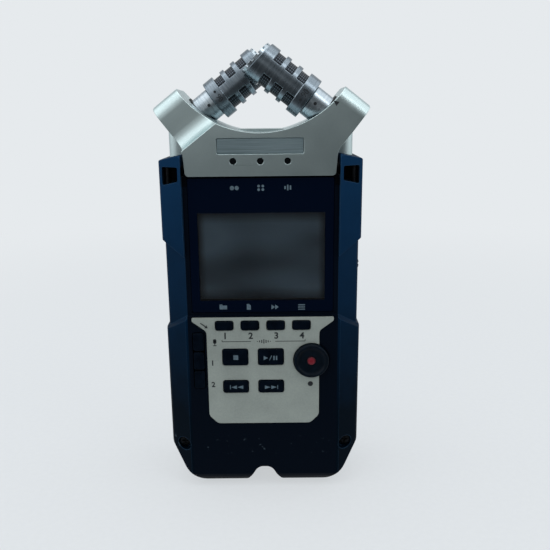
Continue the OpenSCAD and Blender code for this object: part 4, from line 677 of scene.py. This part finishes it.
# Plaque and indicator lenses
# A bare aluminium plaque, brushed along its length, stuck in a shallow recess, and three smoked
# lenses for the mode lamps.

# Brushed aluminium: cool grey with strokes 14 mm long. They are 0.05 mm wide and too fine to show,
# so they are drawn 0.4 mm wide.
brushed, tree, place = new_finish("brushed_aluminium")
stretch = add(tree, "Mapping", {"Vector": place,
                                "Scale": (1 / (14 * MM), 1 / (0.4 * MM), 1 / (0.4 * MM))}).outputs["Vector"]
strokes = add(tree, "TexNoise", {"Vector": stretch, "Scale": 1.0, "Detail": 4.0}).outputs["Fac"]
tone = add(tree, "ValToRGB", {"Fac": strokes}, ramp=[(0.3, "#6c7d82"), (0.7, "#86979c")]).outputs["Color"]
satin = add(tree, "MapRange", {"Value": strokes, "To Min": 0.3, "To Max": 0.45}).outputs["Result"]
shader = add(tree, "BsdfPrincipled", {"Base Color": tone, "Metallic": 0.6, "Roughness": satin})
add(tree, "OutputMaterial", {"Surface": shader.outputs["BSDF"]})
refit("badge_insert", brushed, "body", "plate", 0.15, 2)

# Smoked polycarbonate: near black and glossy, with a slight haze in patches of 1.2 mm.
smoked, tree, place = new_finish("smoked_polycarbonate")
haze = add(tree, "TexNoise", {"Vector": place, "Scale": 1 / (1.2 * MM), "Detail": 1.0}).outputs["Fac"]
tone = add(tree, "ValToRGB", {"Fac": haze}, ramp=[(0.35, "#020406"), (0.7, "#070b0f")]).outputs["Color"]
shader = add(tree, "BsdfPrincipled", {"Base Color": tone, "Roughness": 0.15, "IOR": 1.58,
                                      "Specular IOR Level": 0.15})
add(tree, "OutputMaterial", {"Surface": shader.outputs["BSDF"]})
refit("indicator_lenses", smoked, "body", "dark_lens", 0.3, 3)

# Microphones
# Each capsule sits in a turned aluminium barrel with three slots on either side, a woven steel
# mesh behind them and a notched crown on the tip. The barrel turns on a fixed stem, and a rubber
# ring seals the stem in its horn.
AXIS_RISE, AXIS_POINT = 37.5, Vector((-1.4, -8, 152.816)) * MM
RING_FACE, STEM_FACE = Vector((0, -7.2, -20)) * MM, Vector((0, -5.3, -24.6)) * MM
HALF_TURN = Matrix.Rotation(math.pi, 4, "Z")
LATHE_SCALE = (1 / (9 * MM), 1 / (9 * MM), 1 / (0.5 * MM))
for side, lean in (("right", 1), ("left", -1)):
    along_axis = (0, math.radians(lean * (90 - AXIS_RISE)), 0)

    # Turned aluminium, anodised: satin with lathe rings round the axis, drawn 0.5 mm apart because
    # the real ones are too fine to show. The barrel's copy is painted the darker grey, a painted
    # reflection of the dark room in front, and the stem's and the crown's copy is painted paler, a
    # painted highlight.
    for part, dark, light in (("barrel", "#69757e", "#808b94"), ("stem", "#98a5ae", "#b2bdc4")):
        turned_metal, tree, place = new_finish(f"turned_aluminium_{side}_{part}")
        straight = add(tree, "Mapping", {"Vector": place, "Rotation": along_axis}).outputs["Vector"]
        stretch = add(tree, "Mapping", {"Vector": straight, "Scale": LATHE_SCALE}).outputs["Vector"]
        rings = add(tree, "TexNoise", {"Vector": stretch, "Scale": 1.0, "Detail": 3.0}).outputs["Fac"]
        tone = add(tree, "ValToRGB", {"Fac": rings}, ramp=[(0.3, dark), (0.7, light)]).outputs["Color"]
        satin = add(tree, "MapRange", {"Value": rings, "To Min": 0.24, "To Max": 0.32}).outputs["Result"]
        bumps = add(tree, "Bump", {"Height": rings, "Strength": 0.05,
                                   "Distance": 0.02 * MM}).outputs["Normal"]
        shader = add(tree, "BsdfPrincipled", {"Base Color": tone, "Metallic": 1.0, "Roughness": satin,
                                              "Normal": bumps})
        add(tree, "OutputMaterial", {"Surface": shader.outputs["BSDF"]})
        if part == "stem":
            refit(f"{side}_mic_stem", turned_metal, "body", "barrel", 0.15)
            refit(f"{side}_mic_grille", turned_metal, f"{side}_microphone", "barrel", 0.1)
        else:
            refit(f"{side}_mic_barrel", turned_metal, f"{side}_microphone", "barrel", 0.15)

    # Woven steel mesh: dark gaps between grey wires. Wires 0.3 mm apart are too fine to show,
    # so they are drawn 0.7 mm apart.
    woven, tree, place = new_finish(f"woven_steel_mesh_{side}")
    straight = add(tree, "Mapping", {"Vector": place, "Rotation": along_axis}).outputs["Vector"]
    weft, warp = (add(tree, "TexWave", {"Vector": straight, "Scale": 2 * math.pi / (0.7 * MM) / 20},
                      bands_direction=way).outputs["Fac"] for way in ("Z", "Y"))
    wire = add(tree, "Math", {0: weft, 1: warp}, operation="MULTIPLY").outputs["Value"]
    tone = add(tree, "ValToRGB", {"Fac": wire}, ramp=[(0.1, "#11171d"), (0.8, "#565f69")]).outputs["Color"]
    bumps = add(tree, "Bump", {"Height": wire, "Strength": 0.6, "Distance": 0.1 * MM}).outputs["Normal"]
    shader = add(tree, "BsdfPrincipled", {"Base Color": tone, "Metallic": 0.8, "Roughness": 0.4,
                                          "Normal": bumps})
    add(tree, "OutputMaterial", {"Surface": shader.outputs["BSDF"]})
    dress(woven, f"{side}_mic_mesh")
    dress(brass, f"{side}_mic_capsule")

    # Angle number on the base ring with a dot beside it, and a dot on the stem, in dark ink.
    stand = Matrix.Translation(AXIS_POINT) @ Matrix.Rotation(math.radians(AXIS_RISE - 90), 4, "Y")
    if side == "left":
        stand = HALF_TURN @ stand @ HALF_TURN
    printed(f"{side}_mic_angle", (0, 0, 0), stand @ Matrix.Translation(RING_FACE) @ TO_FRONT, dark_ink,
            f"{side}_microphone", "barrel", dots=[(-2.2, 0, 0.4)], numbers=[("90", 2.6, 0.5, 0, 0.0)])
    printed(f"{side}_stem_mark", (0, 0, 0), stand @ Matrix.Translation(STEM_FACE) @ TO_FRONT, dark_ink,
            "body", "barrel", dots=[(0, 0, 0.55)])

# Nitrile rubber: black, dull, moulded.
nitrile, tree, place = new_finish("moulded_nitrile_rubber")
bloom = add(tree, "TexNoise", {"Vector": place, "Scale": 1 / (2 * MM), "Detail": 3.0}).outputs["Fac"]
tone = add(tree, "ValToRGB", {"Fac": bloom}, ramp=[(0.3, "#0b0d0f"), (0.7, "#15181b")]).outputs["Color"]
shader = add(tree, "BsdfPrincipled", {"Base Color": tone, "Roughness": 0.65, "IOR": 1.52,
                                      "Specular IOR Level": 0.3})
add(tree, "OutputMaterial", {"Surface": shader.outputs["BSDF"]})
dress(nitrile, "mic_seals")

# Studio
# A pale paper sweep under soft lamps: one at either side, one above, a weak one in front and a small
# one for the glint on the barrels. Mirrored rays meet a darker field in front of the device, as
# beside a camera, so that the faces to the front stay quiet and the sides shine.
PALE, FIELD_DARK, FIELD_LIGHT = "#e6eaed", 0.13, 0.82
FLOOR_HALF, FLOOR_Z = 6, -0.1 * MM
floor_shape = bmesh.new()
bmesh.ops.create_grid(floor_shape, x_segments=1, y_segments=1, size=FLOOR_HALF,
                      matrix=Matrix.Translation((0, 0, FLOOR_Z)))
floor = placed("floor", floor_shape)

# Matt paper: pale, with fibres of 2 mm. To the camera it fades into the plain background.
paper, tree, place = new_finish("matt_paper_sweep")
fibre = add(tree, "TexNoise", {"Vector": place, "Scale": 1 / (2 * MM), "Detail": 3.0}).outputs["Fac"]
shade = add(tree, "ValToRGB", {"Fac": fibre}, ramp=[(0.3, "#bcc1c5"), (0.7, "#c3c8cc")]).outputs["Color"]
lit = add(tree, "BsdfPrincipled", {"Base Color": shade, "Roughness": 0.9,
                                   "Specular IOR Level": 0.2})
rays = add(tree, "LightPath").outputs
depth = add(tree, "SeparateXYZ", {"Vector": place}).outputs["Y"]
field = add(tree, "MapRange", {"Value": depth, "From Min": -0.14, "From Max": -0.02,
                               "To Min": FIELD_DARK, "To Max": FIELD_LIGHT}).outputs["Result"]
gleam = add(tree, "MapRange", {"Value": rays["Is Glossy Ray"], "To Min": 1.0,
                               "To Max": field}).outputs["Result"]
glow = add(tree, "Emission", {"Color": linear(PALE), "Strength": gleam})
shown = rays["Is Camera Ray"]
for ray in ("Is Glossy Ray", "Is Transmission Ray"):
    shown = add(tree, "Math", {0: shown, 1: rays[ray]}, operation="MAXIMUM").outputs["Value"]
far = add(tree, "VectorMath", {0: place}, operation="LENGTH").outputs["Value"]
fade = add(tree, "MapRange", {"Value": far, "From Min": 0.12, "From Max": 0.6, "To Min": 0.7},
           interpolation_type="SMOOTHSTEP").outputs["Result"]
fade = add(tree, "Math", {0: fade, 1: rays["Is Glossy Ray"]}, operation="MAXIMUM").outputs["Value"]
pale = add(tree, "Math", {0: shown, 1: fade}, operation="MULTIPLY").outputs["Value"]
sweep = add(tree, "MixShader", {"Fac": pale, 1: lit.outputs["BSDF"], 2: glow.outputs["Emission"]})
add(tree, "OutputMaterial", {"Surface": sweep.outputs["Shader"]})
floor.data.materials.append(paper)

world = bpy.data.worlds.new("studio")
bpy.context.scene.world = world
world.use_nodes = True
tree = world.node_tree
tree.nodes.clear()
rays = add(tree, "LightPath").outputs
way = add(tree, "SeparateXYZ", {"Vector": add(tree, "TexCoord").outputs["Generated"]}).outputs["Y"]
field = add(tree, "MapRange", {"Value": way, "From Min": -0.92, "From Max": -0.5, "To Min": FIELD_DARK,
                               "To Max": FIELD_LIGHT}, interpolation_type="SMOOTHSTEP").outputs["Result"]
level = add(tree, "MapRange", {"Value": rays["Is Glossy Ray"], "To Min": 0.7,
                               "To Max": field}).outputs["Result"]
shown = add(tree, "Math", {0: rays["Is Camera Ray"], 1: rays["Is Transmission Ray"]},
            operation="MAXIMUM").outputs["Value"]
strength = add(tree, "MapRange", {"Value": shown, "To Min": level, "To Max": 1.0}).outputs["Result"]
light = add(tree, "Background", {"Color": linear(PALE), "Strength": strength})
add(tree, "OutputWorld", {"Surface": light.outputs["Background"]})

AIM = Vector((0, 0, 0.09))
for name, spot, size, power in [("lamp_left", (-0.6, -0.1, 0.45), 0.8, 1.9),
                                ("lamp_right", (0.6, 0.0, 0.45), 0.8, 1.8),
                                ("lamp_above", (-0.05, 0.05, 0.8), 0.7, 3.0),
                                ("lamp_front", (-0.3, -0.9, 0.5), 0.8, 1.0),
                                ("lamp_glint", (0.27, -0.26, 0.5), 0.14, 0.2)]:
    lamp = bpy.data.objects.new(name, bpy.data.lights.new(name, "AREA"))
    bpy.context.scene.collection.objects.link(lamp)
    lamp.data.size = size
    lamp.data.energy = power
    lamp.location = spot
    lamp.rotation_euler = (AIM - Vector(spot)).to_track_quat("-Z", "Y").to_euler()

bpy.context.scene.view_settings.view_transform = "Standard"
